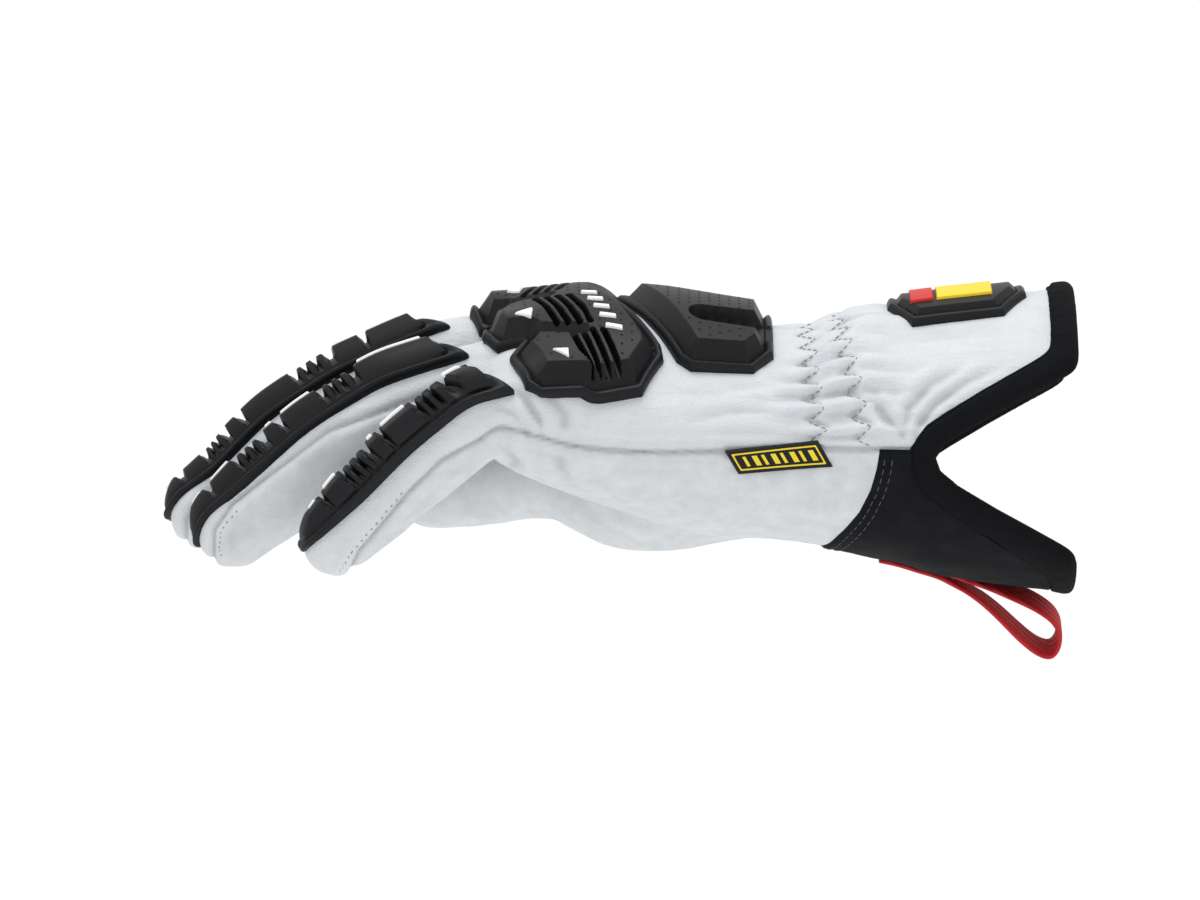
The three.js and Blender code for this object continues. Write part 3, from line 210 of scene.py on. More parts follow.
class Limb:
    """A finger or thumb: a smooth centre line with half sizes and a dome past its last point."""

    def __init__(self, line, highs, wides):
        line = np.asarray(line, float)
        knots = np.concatenate([[0], np.cumsum(np.linalg.norm(np.diff(line, axis=0), axis=1))])
        steps = int(knots[-1] * 4)
        self.along = np.linspace(0, knots[-1], steps)
        columns = list(line.T) + [highs, wides]
        softer = [softened(self.along, knots, values, *LIMB_BLUR) for values in columns]
        self.middle = np.stack(softer[:3], axis=1)
        self.high, self.wide = softer[3:]
        ahead = np.gradient(self.middle, axis=0)
        self.ahead = ahead / np.linalg.norm(ahead, axis=1, keepdims=True)
        side = np.stack([self.ahead[:, 1], -self.ahead[:, 0], np.zeros(steps)], axis=1)
        self.side = side / np.linalg.norm(side, axis=1, keepdims=True)
        up = np.cross(self.ahead, self.side)
        self.up = up * np.sign(up[:, 2:3])
        self.length = knots[-1]
        self.dome = np.pi / 2 * self.high[-1]

    def skin(self, distance, turn, lift):
        """Points on the skin: distance along, turn in radians from the back towards -side."""
        inside = np.clip(distance, 0, self.length)

        def at(values):
            if values.ndim == 1:
                return np.interp(inside, self.along, values)
            return np.stack([np.interp(inside, self.along, v) for v in values.T], axis=-1)

        high, wide = at(self.high) + lift, at(self.wide) + lift
        over = np.maximum(0.0, distance - self.length) / self.high[-1]
        fall = np.cos(over)
        return (at(self.middle) + at(self.ahead) * (high * np.sin(over))[..., None]
                - at(self.side) * (wide * np.sin(turn) * fall)[..., None]
                + at(self.up) * (high * np.cos(turn) * fall)[..., None])

    def mesh(self, grow):
        """The whole limb as a closed mesh, grown outward by some millimetres."""
        dome = self.dome * np.linspace(0.08, 0.98, DOME_RINGS)
        stops = np.concatenate([np.linspace(0, self.length, LIMB_RINGS), self.length + dome])
        turns = np.linspace(0, 2 * np.pi, LIMB_TURNS, endpoint=False)
        grid = self.skin(np.repeat(stops, LIMB_TURNS), np.tile(turns, len(stops)), grow)
        return closed_loft(grid.reshape(len(stops), LIMB_TURNS, 3))


def closed_loft(rings):
    """A closed mesh over a row of rings, with a fan of triangles at either end."""
    rows, count = rings.shape[:2]
    middles = [rings[0].mean(axis=0), rings[-1].mean(axis=0)]
    points = np.concatenate([rings.reshape(-1, 3), middles])
    r, k = np.meshgrid(np.arange(rows - 1), np.arange(count), indexing="ij")
    a, b = (r * count + k).ravel(), (r * count + (k + 1) % count).ravel()
    k = np.arange(count)
    ends = [np.stack([(k + 1) % count, k, np.full(count, rows * count)], 1),
            np.stack([k, (k + 1) % count, np.full(count, rows * count + 1)], 1)]
    ends[1][:, :2] += (rows - 1) * count
    faces = np.concatenate([np.stack([a, b, b + count], 1), np.stack([a, b + count, a + count], 1)]
                           + ends)
    centre = points.mean(axis=0)
    p, q, s = (points[faces[:, i]] - centre for i in range(3))
    if np.einsum("ij,ij->", p, np.cross(q, s)) < 0:
        faces = faces[:, ::-1]
    return points, faces


for finger in FINGERS:
    share = (ROOT_X - np.array(finger["bends"])[:, 0]) / finger["reach"]
    late = smoothstep(0.6, 1.0, share)
    taper = 1.0 - TIP_TAPER * late
    line = np.array(finger["bends"]) - np.array([0.0, 0.0, TIP_LOWER]) * late[:, None]
    finger["limb"] = Limb(line, finger["high"] * (0.88 + 0.12 * share) * taper,
                          finger["wide"] * (0.5 + 0.5 * taper))
thumb_table = np.array(THUMB_ROWS, float)
thumb_limb = Limb(thumb_table[:, :3], thumb_table[:, 3], thumb_table[:, 4])


def hand_mesh(grow, start, end):
    """The hand between two places along it as a closed mesh, grown outward by some millimetres."""
    xs = np.linspace(start, end, HAND_RINGS)
    angles = np.linspace(0, 2 * np.pi, HAND_TURNS, endpoint=False)
    rings = np.stack([hand_ring(np.full(120, x), angles, grow) for x in xs])
    return closed_loft(rings)


def joined(parts):
    """Several meshes as one: all their points, and their faces with the places moved on."""
    points, faces, count = [], [], 0
    for part_points, part_faces in parts:
        points.append(part_points)
        faces.append(part_faces + count)
        count += len(part_points)
    return np.concatenate(points), np.concatenate(faces)


def fuse(parts, voxel):
    """One closed mesh round several closed meshes, rebuilt on a grid of the voxel's size."""
    points, faces = joined(parts)
    mesh = bpy.data.meshes.new("fusing")
    mesh.from_pydata((points * MM).tolist(), [], faces.tolist())
    thing = bpy.data.objects.new("fusing", mesh)
    bpy.context.scene.collection.objects.link(thing)
    remesh = thing.modifiers.new("remesh", "REMESH")
    remesh.mode = "VOXEL"
    remesh.voxel_size = voxel * MM
    graph = bpy.context.evaluated_depsgraph_get()
    made = bpy.data.meshes.new_from_object(thing.evaluated_get(graph))
    bpy.data.objects.remove(thing)
    made.calc_loop_triangles()
    out = np.empty(len(made.vertices) * 3)
    made.vertices.foreach_get("co", out)
    corners = np.empty(len(made.loop_triangles) * 3, np.int32)
    made.loop_triangles.foreach_get("vertices", corners)
    bpy.data.meshes.remove(made)
    return out.reshape(-1, 3) / MM, corners.reshape(-1, 3).astype(int)


# Leather skin, before its cuts.
# The leather of hand, fingers and thumb starts as one skin, so that its pieces meet edge to edge
# where they are sewn. Seams, gathers and creases are pressed into it as they lie in filled leather.
SKIN_VOXEL = 0.85
SKIN_SMOOTHINGS = 10
SKIN_START = 64.0
SKIN_END = -94.0
CUFF_X = 62.0
CORNER_ROUND = 1.2
NOTCH_EDGE = [(66.0, 25.3), (41.12, 10.81), (31.04, 4.6), (27.2, 2), (25, -1.4),
              (26.2, -4.8), (31.04, -9), (41.12, -15.3), (66.0, -29.6)]
NOTCH_SPAN = 72.2
NOTCH_FALL = 14.2
PANEL_EDGE = [(10.54, 12.8), (10.54, 0), (9.92, -4), (8.37, -9.92), (5.58, -16),
              (2.48, -20.16), (-4.4, -28.8), (-7.92, -51.2)]


def point_normals(points, triangles):
    """Unit normals at the points, each the mean of the faces round it by their area."""
    a, b, c = (points[triangles[:, k]] for k in range(3))
    face = np.cross(b - a, c - a)
    normals = np.zeros_like(points)
    for k in range(3):
        for axis in range(3):
            normals[:, axis] += np.bincount(triangles[:, k], face[:, axis], len(points))
    return normals / np.maximum(np.linalg.norm(normals, axis=1, keepdims=True), 1e-12)


def smooth_points(points, triangles, rounds):
    """Moves each point half way to the middle of its neighbours, some times over."""
    edges = np.concatenate([triangles[:, [0, 1]], triangles[:, [1, 2]], triangles[:, [2, 0]]])
    edges = np.unique(np.sort(edges, axis=1), axis=0)
    degree = np.maximum(np.bincount(edges.ravel(), minlength=len(points)), 1)[:, None]
    for _ in range(rounds):
        total = np.zeros_like(points)
        for axis in range(3):
            total[:, axis] += np.bincount(edges[:, 0], points[edges[:, 1], axis], len(points))
            total[:, axis] += np.bincount(edges[:, 1], points[edges[:, 0], axis], len(points))
        points = points + 0.5 * (total / degree - points)
    return points


def glove_mesh(grow, start, end, voxel):
    """Hand, fingers and thumb fused to one closed mesh, grown outward by some millimetres."""
    limbs = [thumb_limb] + [finger["limb"] for finger in FINGERS]
    return fuse([hand_mesh(grow, start, end)] + [limb.mesh(grow) for limb in limbs], voxel)


def line_distance(points, line):
    """Signed distance of 2-D points from a line of 2-D points, its ends carried on straight."""
    line = np.asarray(line, float)
    best = np.full(len(points), 1e9)
    signed = np.zeros(len(points))
    last = len(line) - 2
    for i in range(last + 1):
        a, b = line[i], line[i + 1]
        d = b - a
        length = np.hypot(*d)
        t = ((points - a) @ d) / length ** 2
        t = np.clip(t, -50.0 if i == 0 else 0.0, 50.0 if i == last else 1.0)
        off = points - (a + t[:, None] * d)
        distance = np.hypot(off[:, 0], off[:, 1])
        side = np.sign(d[0] * off[:, 1] - d[1] * off[:, 0])
        nearer = distance < best - 1e-9
        best = np.where(nearer, distance, best)
        signed = np.where(nearer, distance * np.where(side == 0, 1, side), signed)
    return signed


def seam_field(points):
    """How far points lie above the seam between back and palm, measured in the side view."""
    x, y = points[:, 0], points[:, 1]
    flat = points[:, [0, 2]]
    over_hand = points[:, 2] - hand_at(x, "seam")
    share = (ROOT_X - x)[:, None] / np.array([f["reach"] for f in FINGERS])
    lanes = np.array([f["root"] for f in FINGERS]) + share * np.array([f["splay"] for f in FINGERS])
    edges = (lanes[:, 1:] + lanes[:, :-1]) / 2
    weights = np.ones((len(points), len(FINGERS)))
    for i in range(len(FINGERS) - 1):
        past = smoothstep(-1.5, 1.5, y - edges[:, i])
        weights[:, :i + 1] *= (1 - past)[:, None]
        weights[:, i + 1:] *= past[:, None]
    over_fingers = sum(w * -line_distance(flat, f["seam"]) for w, f in zip(weights.T, FINGERS))
    blend = smoothstep(-82.0, -92.0, x)
    return over_hand * (1 - blend) + over_fingers * blend


def edge_field(points):
    """How far points lie inside the cuff's edge, measured in the side view."""
    across = (points[:, 1] + NOTCH_SPAN / 2) * NOTCH_FALL / NOTCH_SPAN
    notch = -line_distance(np.stack([points[:, 0], points[:, 2] + across], axis=1), NOTCH_EDGE)
    mouth = CUFF_X - points[:, 0]
    return -CORNER_ROUND * np.logaddexp(-mouth / CORNER_ROUND, -notch / CORNER_ROUND)


def panel_field(points):
    """How far points lie behind the front edge of the cuff's suede panel."""
    return line_distance(points[:, [0, 2]], PANEL_EDGE)


def hand_turn(points):
    """Turn round the hand in radians: 0 at the near seam, a quarter turn on the back."""
    x = points[:, 0]
    crown, seam = hand_at(x, "crown"), hand_at(x, "seam")
    across = (crown - points[:, 1]) / (crown - hand_at(x, "near"))
    rise = (points[:, 2] - seam) / (hand_at(x, "top") - seam)
    return np.arctan2(rise, across)


def hand_ratio(points):
    """Size of the hand section through each point, as a share of the hand's own."""
    x = points[:, 0]
    crown, seam = hand_at(x, "crown"), hand_at(x, "seam")
    near = points[:, 1] < crown
    over = points[:, 2] > seam
    half = np.where(near, crown - hand_at(x, "near"), hand_at(x, "far") - crown)
    rise = np.where(over, hand_at(x, "top") - seam, seam - hand_at(x, "bottom"))
    power = np.where(over, BACK_CURVE, PALM_CURVE)
    total = (np.abs(points[:, 1] - crown) / half) ** power
    total += (np.abs(points[:, 2] - seam) / np.maximum(rise, 1.0)) ** power
    beyond = np.maximum(0.0, hand_table[0, 0] - x) / 10.0
    return total ** (1.0 / power) + beyond


def limb_ratio(points, limb):
    """Size of the limb section through each point, as a share of the limb's own."""
    picks = np.arange(0, len(limb.along), 5)
    nearest = np.empty(len(points), int)
    for start in range(0, len(points), 20000):
        part = points[start:start + 20000, None, :] - limb.middle[None, picks, :]
        nearest[start:start + 20000] = picks[np.argmin((part ** 2).sum(axis=2), axis=1)]
    off = points - limb.middle[nearest]
    across = (off * limb.side[nearest]).sum(axis=1) / limb.wide[nearest]
    rise = (off * limb.up[nearest]).sum(axis=1) / limb.high[nearest]
    ahead = (off * limb.ahead[nearest]).sum(axis=1) / limb.high[nearest]
    return np.sqrt(across ** 2 + rise ** 2 + ahead ** 2)


def segment_distance(points, a, b, low=0.0):
    """Distance of 2-D points from the piece between a and b, and the share of the way along it."""
    d = b - a
    t = np.clip(((points - a) @ d) / (d @ d), low, 1.0)
    off = points - (a + t[:, None] * d)
    return np.hypot(off[:, 0], off[:, 1]), t


def crease(points, line, width, depth):
    """Depth at each point of a fold that runs along a line drawn in the side view."""
    line = np.asarray(line, float)
    best = np.full(len(points), 1e9)
    place = np.zeros(len(points))
    for i, (a, b) in enumerate(zip(line[:-1], line[1:])):
        distance, t = segment_distance(points[:, [0, 2]], a, b)
        place = np.where(distance < best, (i + t) / (len(line) - 1), place)
        best = np.minimum(best, distance)
    fade = np.clip(4.0 * place * (1.0 - place), 0.0, 1.0)
    valley = np.exp(-(best / width) ** 2)
    swell = np.exp(-((best - 2.2 * width) / (1.3 * width)) ** 2)
    return depth * fade * (0.45 * swell - valley)


LATTICE = np.random.default_rng(5).random((40, 40, 40))


def noise(points, size):
    """Smooth noise from -1 to 1 at points in millimetres, with bumps of one size or three."""
    p = points / np.asarray(size, float) + 200.0
    cell = np.floor(p).astype(int)
    t = p - cell
    t = t * t * (3.0 - 2.0 * t)
    total = np.zeros(len(p))
    for corner in np.ndindex(2, 2, 2):
        weight = np.prod(np.where(np.array(corner) == 1, t, 1.0 - t), axis=1)
        i, j, k = ((cell + corner) % 40).T
        total += weight * LATTICE[i, j, k]
    return 2.0 * total - 1.0


# Gathers and zigzag elastic stitching round the back of the wrist. arc is the way round from the
# near seam in millimetres; each stitch line leans towards the fingers as it climbs.
ARC_PER_TURN = 31.2
HALF_WAY_ROUND = np.pi * ARC_PER_TURN
ZIGZAG_PITCH = 6.3
ZIGZAG_REACH = 4.8
ZIGZAG_LINES = [dict(x=-4.4, lean=-0.08), dict(x=7.4, lean=-0.17)]
GATHER_HEIGHT = 1.0
WRINKLE_HEIGHT = 0.8
STITCH_DEPTH = 0.75


def zigzag_x(line, arc):
    """Where a zigzag stitch line lies along the glove, at places on the way round."""
    climb = np.minimum(arc, HALF_WAY_ROUND - arc)
    swing = np.abs((arc / ZIGZAG_PITCH) % 1.0 * 2.0 - 1.0) - 0.5
    return line["x"] + line["lean"] * climb + ZIGZAG_REACH * swing


skin_points, skin_faces = glove_mesh(0.0, SKIN_START, SKIN_END, SKIN_VOXEL)
skin_points = smooth_points(skin_points, skin_faces, SKIN_SMOOTHINGS)
skin_arc = hand_turn(skin_points) * ARC_PER_TURN
on_back = smoothstep(0.5, 5.0, skin_arc) * smoothstep(0.5, 5.0, HALF_WAY_ROUND - skin_arc)
skin_seam = seam_field(skin_points)
skin_normals = point_normals(skin_points, skin_faces)
facing_near = smoothstep(0.0, -0.35, skin_normals[:, 1])
x = skin_points[:, 0]

wander = noise(np.stack([x, skin_arc, np.zeros_like(x)], 1), (17.0, 9.0, 9.0))
pull = np.exp(-(np.abs((x + 1.0) / 15.0)) ** 2.5)
tug = np.exp(-(np.abs((x + 1.0) / 9.5)) ** 4)
ridges = np.cos(2 * np.pi * skin_arc / ZIGZAG_PITCH + 1.3 * wander * (1.0 - 0.7 * tug))
lift = on_back * GATHER_HEIGHT * pull * ridges * (0.65 + 0.5 * wander)
wrinkles = noise(np.stack([x, skin_arc, np.full_like(x, 30.0)], 1), (11.0, 2.4, 3.0))
lift += on_back * WRINKLE_HEIGHT * np.exp(-((x - 2.0) / 24.0) ** 2) * wrinkles
for line in ZIGZAG_LINES:
    slope = np.hypot(1.0, 2.0 * ZIGZAG_REACH / ZIGZAG_PITCH)
    off = np.abs(x - zigzag_x(line, skin_arc)) / slope
    lift -= on_back * STITCH_DEPTH * np.exp(-(off / 0.8) ** 2)

# The sewn seam between back and palm, sunk between two soft swells.
SEAM_SWELL = 0.35
SEAM_DEPTH = 0.85
lift += SEAM_SWELL * np.exp(-((np.abs(skin_seam) - 2.4) / 1.5) ** 2)
lift -= SEAM_DEPTH * np.exp(-(skin_seam / 0.75) ** 2)

# Folds that run from the cuff's notch and the wrist, and those at the little finger's root.
for line, width, depth in [
    ([(19.4, 1.0), (20.6, 7.2), (25.0, 12.5), (33.5, 18.2), (43.0, 22.0)], 1.0, 0.9),
    ([(16.0, 2.0), (18.0, 11.2), (23.7, 17.0), (34.0, 22.6)], 1.3, 1.0),
    ([(8.0, 15.0), (12.0, 9.0), (18.0, 3.4)], 1.3, 0.9),
    ([(9.0, 25.0), (18.0, 28.0), (30.0, 29.0), (44.0, 30.5)], 1.5, 0.7),
    ([(-84.5, 18.5), (-80.2, 15.5), (-76.5, 9.0), (-75.5, 4.5)], 1.2, 0.9),
    ([(-88.0, 13.0), (-83.0, 11.0), (-79.5, 7.0), (-78.8, 3.5)], 1.0, 0.5),
    ([(-74.5, 17.0), (-70.0, 11.0), (-70.0, 5.5)], 1.3, 0.45),
    ([(-72.0, 3.0), (-71.0, -4.0), (-66.0, -11.0)], 2.2, 0.7),
    ([(-86.0, 3.0), (-83.0, -2.0), (-84.5, -6.5)], 1.8, 0.9),
    ([(-40.0, 8.0), (-28.0, 10.5), (-14.0, 10.0)], 1.2, 0.35),
    ([(-44.0, 15.5), (-30.0, 15.0), (-16.0, 16.5)], 1.2, 0.35),
]:
    lift += facing_near * crease(skin_points, line, width, depth)

# Soft unevenness of filled leather, and finer wrinkles on the palm side.
lift += 0.55 * noise(skin_points, 21.0) + 0.22 * noise(skin_points + 70.0, 9.0)
palm_side = smoothstep(0.0, -6.0, skin_seam)
lift += palm_side * (0.5 * noise(skin_points + 31.0, (14.0, 10.0, 7.0))
                     + 0.12 * noise(skin_points, 3.6))
lift += 0.04 * noise(skin_points, 1.9)
skin_shaped = skin_points + lift[:, None] * skin_normals

# Painted shade: how deep each place lies in a fold or along the sunk seam, which darkens the
# leather's colour there.
broad = smooth_points(np.repeat(lift[:, None], 3, axis=1), skin_faces, 14)[:, 0]
painted_shade = np.clip((broad - lift) / 1.1, 0.0, 0.45)
painted_shade = np.maximum(painted_shade, 0.6 * np.exp(-(skin_seam / 0.42) ** 2))

# Leather pieces.
# The back is smooth white grain leather, the palm side and thumb its paler grey suede side, and
# the panel under the cuff black suede laid over the palm leather. All are sewn from 1.8 mm leather.
LEATHER_WALL = 1.8
BINDING_WIDTH = 7.2
PANEL_PROUD = 0.7


def linear(colour):
    """The linear values of an sRGB hex colour, with full opacity."""
    parts = [int(colour[i:i + 2], 16) / 255.0 for i in (1, 3, 5)]
    return [c / 12.92 if c <= 0.04045 else ((c + 0.055) / 1.055) ** 2.4 for c in parts] + [1.0]


def new_material(name, colour, roughness):
    """A material with one principled shader; returns it with its tree and that shader."""
    material = bpy.data.materials.new(name)
    material.use_nodes = True
    shader = material.node_tree.nodes["Principled BSDF"]
    shader.inputs["Base Color"].default_value = linear(colour)
    shader.inputs["Roughness"].default_value = roughness
    return material, material.node_tree, shader


def add_node(tree, kind, links=(), **settings):
    """Adds a node. links pairs an input with the socket that feeds it, or with a plain value."""
    node = tree.nodes.new(kind)
    for key, value in settings.items():
        setattr(node, key, value)
    for key, source in links:
        if isinstance(source, bpy.types.NodeSocket):
            tree.links.new(source, node.inputs[key])
        else:
            node.inputs[key].default_value = source
    return node


def mixed_leather(name, colour, shade, roughness, grain, grain_depth, blotch, fibre_depth,
                  wrinkle=0.0):
    """Leather with soft blotches of a second shade, and with painted shade that darkens its folds
    and seams.

    A pebbled grain and fine fibres raise it a little, and long fine wrinkles where it is drawn in.
    """
    material, tree, shader = new_material(name, colour, roughness)
    place = add_node(tree, "ShaderNodeTexCoord").outputs["Object"]
    cloud = add_node(tree, "ShaderNodeTexNoise", [("Vector", place), ("Scale", 1 / (blotch * MM)),
                                                  ("Detail", 5.0), ("Roughness", 0.6)])
    share = add_node(tree, "ShaderNodeMapRange", [("Value", cloud.outputs["Fac"]),
                                                  ("From Min", 0.3), ("From Max", 0.7)])
    mix = add_node(tree, "ShaderNodeMix", [("Factor", share.outputs["Result"])], data_type="RGBA")
    mix.inputs[6].default_value = linear(shade)
    mix.inputs[7].default_value = linear(colour)
    # Painted shade: the point attribute draws the colour towards a deep tone of the second shade in
    # folds and along the seam.
    painted_shade = add_node(tree, "ShaderNodeAttribute", attribute_name="painted_shade")
    painted_shade_mix = add_node(tree, "ShaderNodeMix", [("Factor", painted_shade.outputs["Fac"])], data_type="RGBA")
    tree.links.new(mix.outputs[2], painted_shade_mix.inputs[6])
    painted_shade_mix.inputs[7].default_value = [0.42 * c for c in linear(shade)[:3]] + [1.0]
    tree.links.new(painted_shade_mix.outputs[2], shader.inputs["Base Color"])
    cells = add_node(tree, "ShaderNodeTexVoronoi", [("Vector", place), ("Scale", 1 / (grain * MM))],
                     feature="DISTANCE_TO_EDGE")
    pebble = add_node(tree, "ShaderNodeMapRange", [("Value", cells.outputs["Distance"]),
                                                   ("From Min", 0.0), ("From Max", 0.22)])
    fibres = add_node(tree, "ShaderNodeTexNoise", [("Vector", place), ("Scale", 1 / (0.5 * MM)),
                                                   ("Detail", 4.0)])
    first = add_node(tree, "ShaderNodeBump", [("Height", pebble.outputs["Result"]),
                                              ("Distance", grain_depth * MM), ("Strength", 1.0)])
    second = add_node(tree, "ShaderNodeBump", [("Height", fibres.outputs["Fac"]),
                                               ("Distance", fibre_depth * MM), ("Strength", 1.0),
                                               ("Normal", first.outputs["Normal"])])
    if wrinkle:
        drawn = add_node(tree, "ShaderNodeMapping", [("Vector", place)])
        drawn.inputs["Scale"].default_value = (1 / (13 * MM), 1 / (2.4 * MM), 1 / (2.4 * MM))
        lines = add_node(tree, "ShaderNodeTexNoise", [("Vector", drawn.outputs["Vector"]),
                                                      ("Scale", 1.0), ("Detail", 5.0),
                                                      ("Distortion", 0.6)])
        second = add_node(tree, "ShaderNodeBump", [("Height", lines.outputs["Fac"]),
                                                   ("Distance", wrinkle * MM),
                                                   ("Normal", second.outputs["Normal"])])
    tree.links.new(second.outputs["Normal"], shader.inputs["Normal"])
    return material


# Smooth goat grain has a soft shine; its split suede side scatters light and looks chalky.
white_leather = mixed_leather("white_grain_leather", "#d2d5d8", "#c9cdd1", 0.6,
                              grain=0.9, grain_depth=0.06, blotch=9.0, fibre_depth=0.09,
                              wrinkle=0.32)
suede_leather = mixed_leather("grey_split_suede", "#d3d6d8", "#c4c8cb", 0.9,
                              grain=0.5, grain_depth=0.02, blotch=5.0, fibre_depth=0.16)
black_suede = mixed_leather("black_suede", "#17181b", "#0f1012", 0.95,
                            grain=0.5, grain_depth=0.03, blotch=6.0, fibre_depth=0.2)
black_suede.node_tree.nodes["Principled BSDF"].inputs["Specular IOR Level"].default_value = 0.15


def cut_mesh(points, triangles, field):
    """Cuts a triangle mesh where a value at its points is 0; returns points, upper, lower part."""
    field = np.where(np.abs(field) < 1e-6, 1e-6, field)
    inside = field > 0
    count = inside[triangles].sum(axis=1)
    mixed = triangles[(count == 1) | (count == 2)]
    single_inside = inside[mixed].sum(axis=1) == 1
    lone = np.argmax(inside[mixed] == single_inside[:, None], axis=1)
    rolled = mixed[np.arange(len(mixed))[:, None], (lone[:, None] + np.arange(3)) % 3]
    a, b, c = rolled.T
    pairs = np.sort(np.concatenate([np.stack([a, b], 1), np.stack([a, c], 1)]), axis=1)
    edges, back = np.unique(pairs, axis=0, return_inverse=True)
    back = back.ravel()
    t = field[edges[:, 0]] / (field[edges[:, 0]] - field[edges[:, 1]])
    made = points[edges[:, 0]] + t[:, None] * (points[edges[:, 1]] - points[edges[:, 0]])
    ab = len(points) + back[:len(mixed)]
    ac = len(points) + back[len(mixed):]
    tips = np.stack([a, ab, ac], 1)
    stumps = [np.stack([ab, b, c], 1), np.stack([ab, c, ac], 1)]
    points = np.concatenate([points, made])
    upper = np.concatenate([triangles[count == 3], tips[single_inside]]
                           + [s[~single_inside] for s in stumps])
    lower = np.concatenate([triangles[count == 0], tips[~single_inside]]
                           + [s[single_inside] for s in stumps])
    return points, upper, lower


def tight(points, triangles):
    """Drops the points that no triangle uses."""
    used, flat = np.unique(triangles, return_inverse=True)
    return points[used], flat.reshape(triangles.shape)


def kept_part(points, triangles, field):
    """The part of a mesh where a value at its points is above 0."""
    points, upper, _ = cut_mesh(points, triangles, field)
    return tight(points, upper)


def rim_edges(triangles):
    """Directed edges that only one triangle uses."""
    edges = np.concatenate([triangles[:, [0, 1]], triangles[:, [1, 2]], triangles[:, [2, 0]]])
    _, back, counts = np.unique(np.sort(edges, axis=1), axis=0, return_inverse=True,
                                return_counts=True)
    return edges[counts[back.ravel()] == 1]


def add_object(name, points, faces, material, sharp=35.0):
    """A mesh object from points in millimetres and a list or array of faces."""
    mesh = bpy.data.meshes.new(name)
    points = np.asarray(points, float) * MM
    faces = np.asarray(faces)
    mesh.vertices.add(len(points))
    mesh.vertices.foreach_set("co", points.ravel())
    mesh.loops.add(faces.size)
    mesh.loops.foreach_set("vertex_index", faces.ravel().astype(np.int32))
    mesh.polygons.add(len(faces))
    mesh.polygons.foreach_set("loop_start", np.arange(len(faces), dtype=np.int32) * faces.shape[1])
    mesh.update(calc_edges=True)
    mesh.validate()
    mesh.polygons.foreach_set("use_smooth", np.ones(len(mesh.polygons), bool))
    if sharp:
        mesh.set_sharp_from_angle(angle=np.radians(sharp))
    mesh.materials.append(material)
    thing = bpy.data.objects.new(name, mesh)
    bpy.context.scene.collection.objects.link(thing)
    return thing


def seat(thing, slot, *nodes):
    """Rides a piece on the glove and hides the modelled parts it stands for; its slot is not used.
    """
    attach(thing, "root")
    if nodes:
        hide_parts(*nodes)


def rim_walls(faces, count):
    """The points on the open edges of a mesh, and walls from there to copies put after them."""
    rim = rim_edges(faces)
    used = np.unique(rim)
    place = np.full(count, -1)
    place[used] = count + np.arange(len(used))
    a, b = rim[:, 0], rim[:, 1]
    return used, np.concatenate([np.stack([b, a, place[a]], 1),
                                 np.stack([b, place[a], place[b]], 1)])


def turned_in(points, faces, normals, depth):
    """Adds a rim that turns inward along the open edges, so that a piece shows its thickness."""
    used, walls = rim_walls(faces, len(points))
    inner = points[used] - depth * normals[used]
    return np.concatenate([points, inner]), np.concatenate([faces, walls])


base_field = edge_field(skin_points)
stack = np.concatenate([skin_shaped, skin_points, skin_normals, painted_shade[:, None]], axis=1)
stack, leather_faces, _ = cut_mesh(stack, skin_faces, base_field - (BINDING_WIDTH - 1.0))
stack, back_faces, under_faces = cut_mesh(stack, leather_faces, seam_field(stack[:, 3:6]))
stack, panel_faces, under_faces = cut_mesh(stack, under_faces, panel_field(stack[:, 3:6]))
thumbness = hand_ratio(stack[:, 3:6]) - limb_ratio(stack[:, 3:6], thumb_limb)
stack, thumb_faces, palm_faces = cut_mesh(stack, under_faces, thumbness)

for name, faces, material, slot in [
    ("back_leather_skin", back_faces, white_leather, "white_leather"),
    ("palm_leather_skin", palm_faces, suede_leather, "suede_leather"),
    ("thumb_leather_skin", thumb_faces, suede_leather, "suede_leather"),
    ("cuff_panel_skin", panel_faces, black_suede, "black_suede"),
]:
    part, faces = tight(stack, faces)
    points, normals = part[:, 0:3], part[:, 6:9]
    if name == "cuff_panel_skin":
        rise = PANEL_PROUD * smoothstep(-0.2, 0.9, panel_field(part[:, 3:6]))
        points = points + rise[:, None] * normals
    # Painted shade in folds and along the seam, kept as a point attribute for the leather's colour.
    shade = np.zeros(len(points) + len(np.unique(rim_edges(faces))))
    shade[:len(points)] = part[:, 9]
    points, faces = turned_in(points, faces, normals, LEATHER_WALL)
    piece = add_object(name, points, faces, material, sharp=50.0)
    piece.data.attributes.new("painted_shade", "FLOAT", "POINT").data.foreach_set("value", shade)
    seat(piece, slot, name.removesuffix("_skin"))

# Lining.
# A thin grey polyester knit fills the glove from inside. It is a bag of its own, sewn to the
# leather under the cuff's binding.
LINING_VOXEL = 2.4
LINING_GAP = 0.3
LINING_END = -92.0
LINING_EDGE = 3.0
lining_points, lining_faces = glove_mesh(-LEATHER_WALL - LINING_GAP, SKIN_START, LINING_END,
                                         LINING_VOXEL)
lining_points = smooth_points(lining_points, lining_faces, 2)
lining_points, lining_faces = kept_part(lining_points, lining_faces,
                                        edge_field(lining_points) - LINING_EDGE)
# Knitted loops stand as small soft bumps without gloss.
lining_knit, tree, shader = new_material("grey_knit_lining", "#8d9096", 0.95)
place = add_node(tree, "ShaderNodeTexCoord").outputs["Object"]
knit = add_node(tree, "ShaderNodeTexVoronoi", [("Vector", place), ("Scale", 1 / (1.1 * MM))])
bump = add_node(tree, "ShaderNodeBump", [("Height", knit.outputs["Distance"]),
                                         ("Distance", 0.3 * MM)])
tree.links.new(bump.outputs["Normal"], shader.inputs["Normal"])
lining = add_object("lining", lining_points, lining_faces[:, ::-1], lining_knit, sharp=0)
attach(lining, "root")

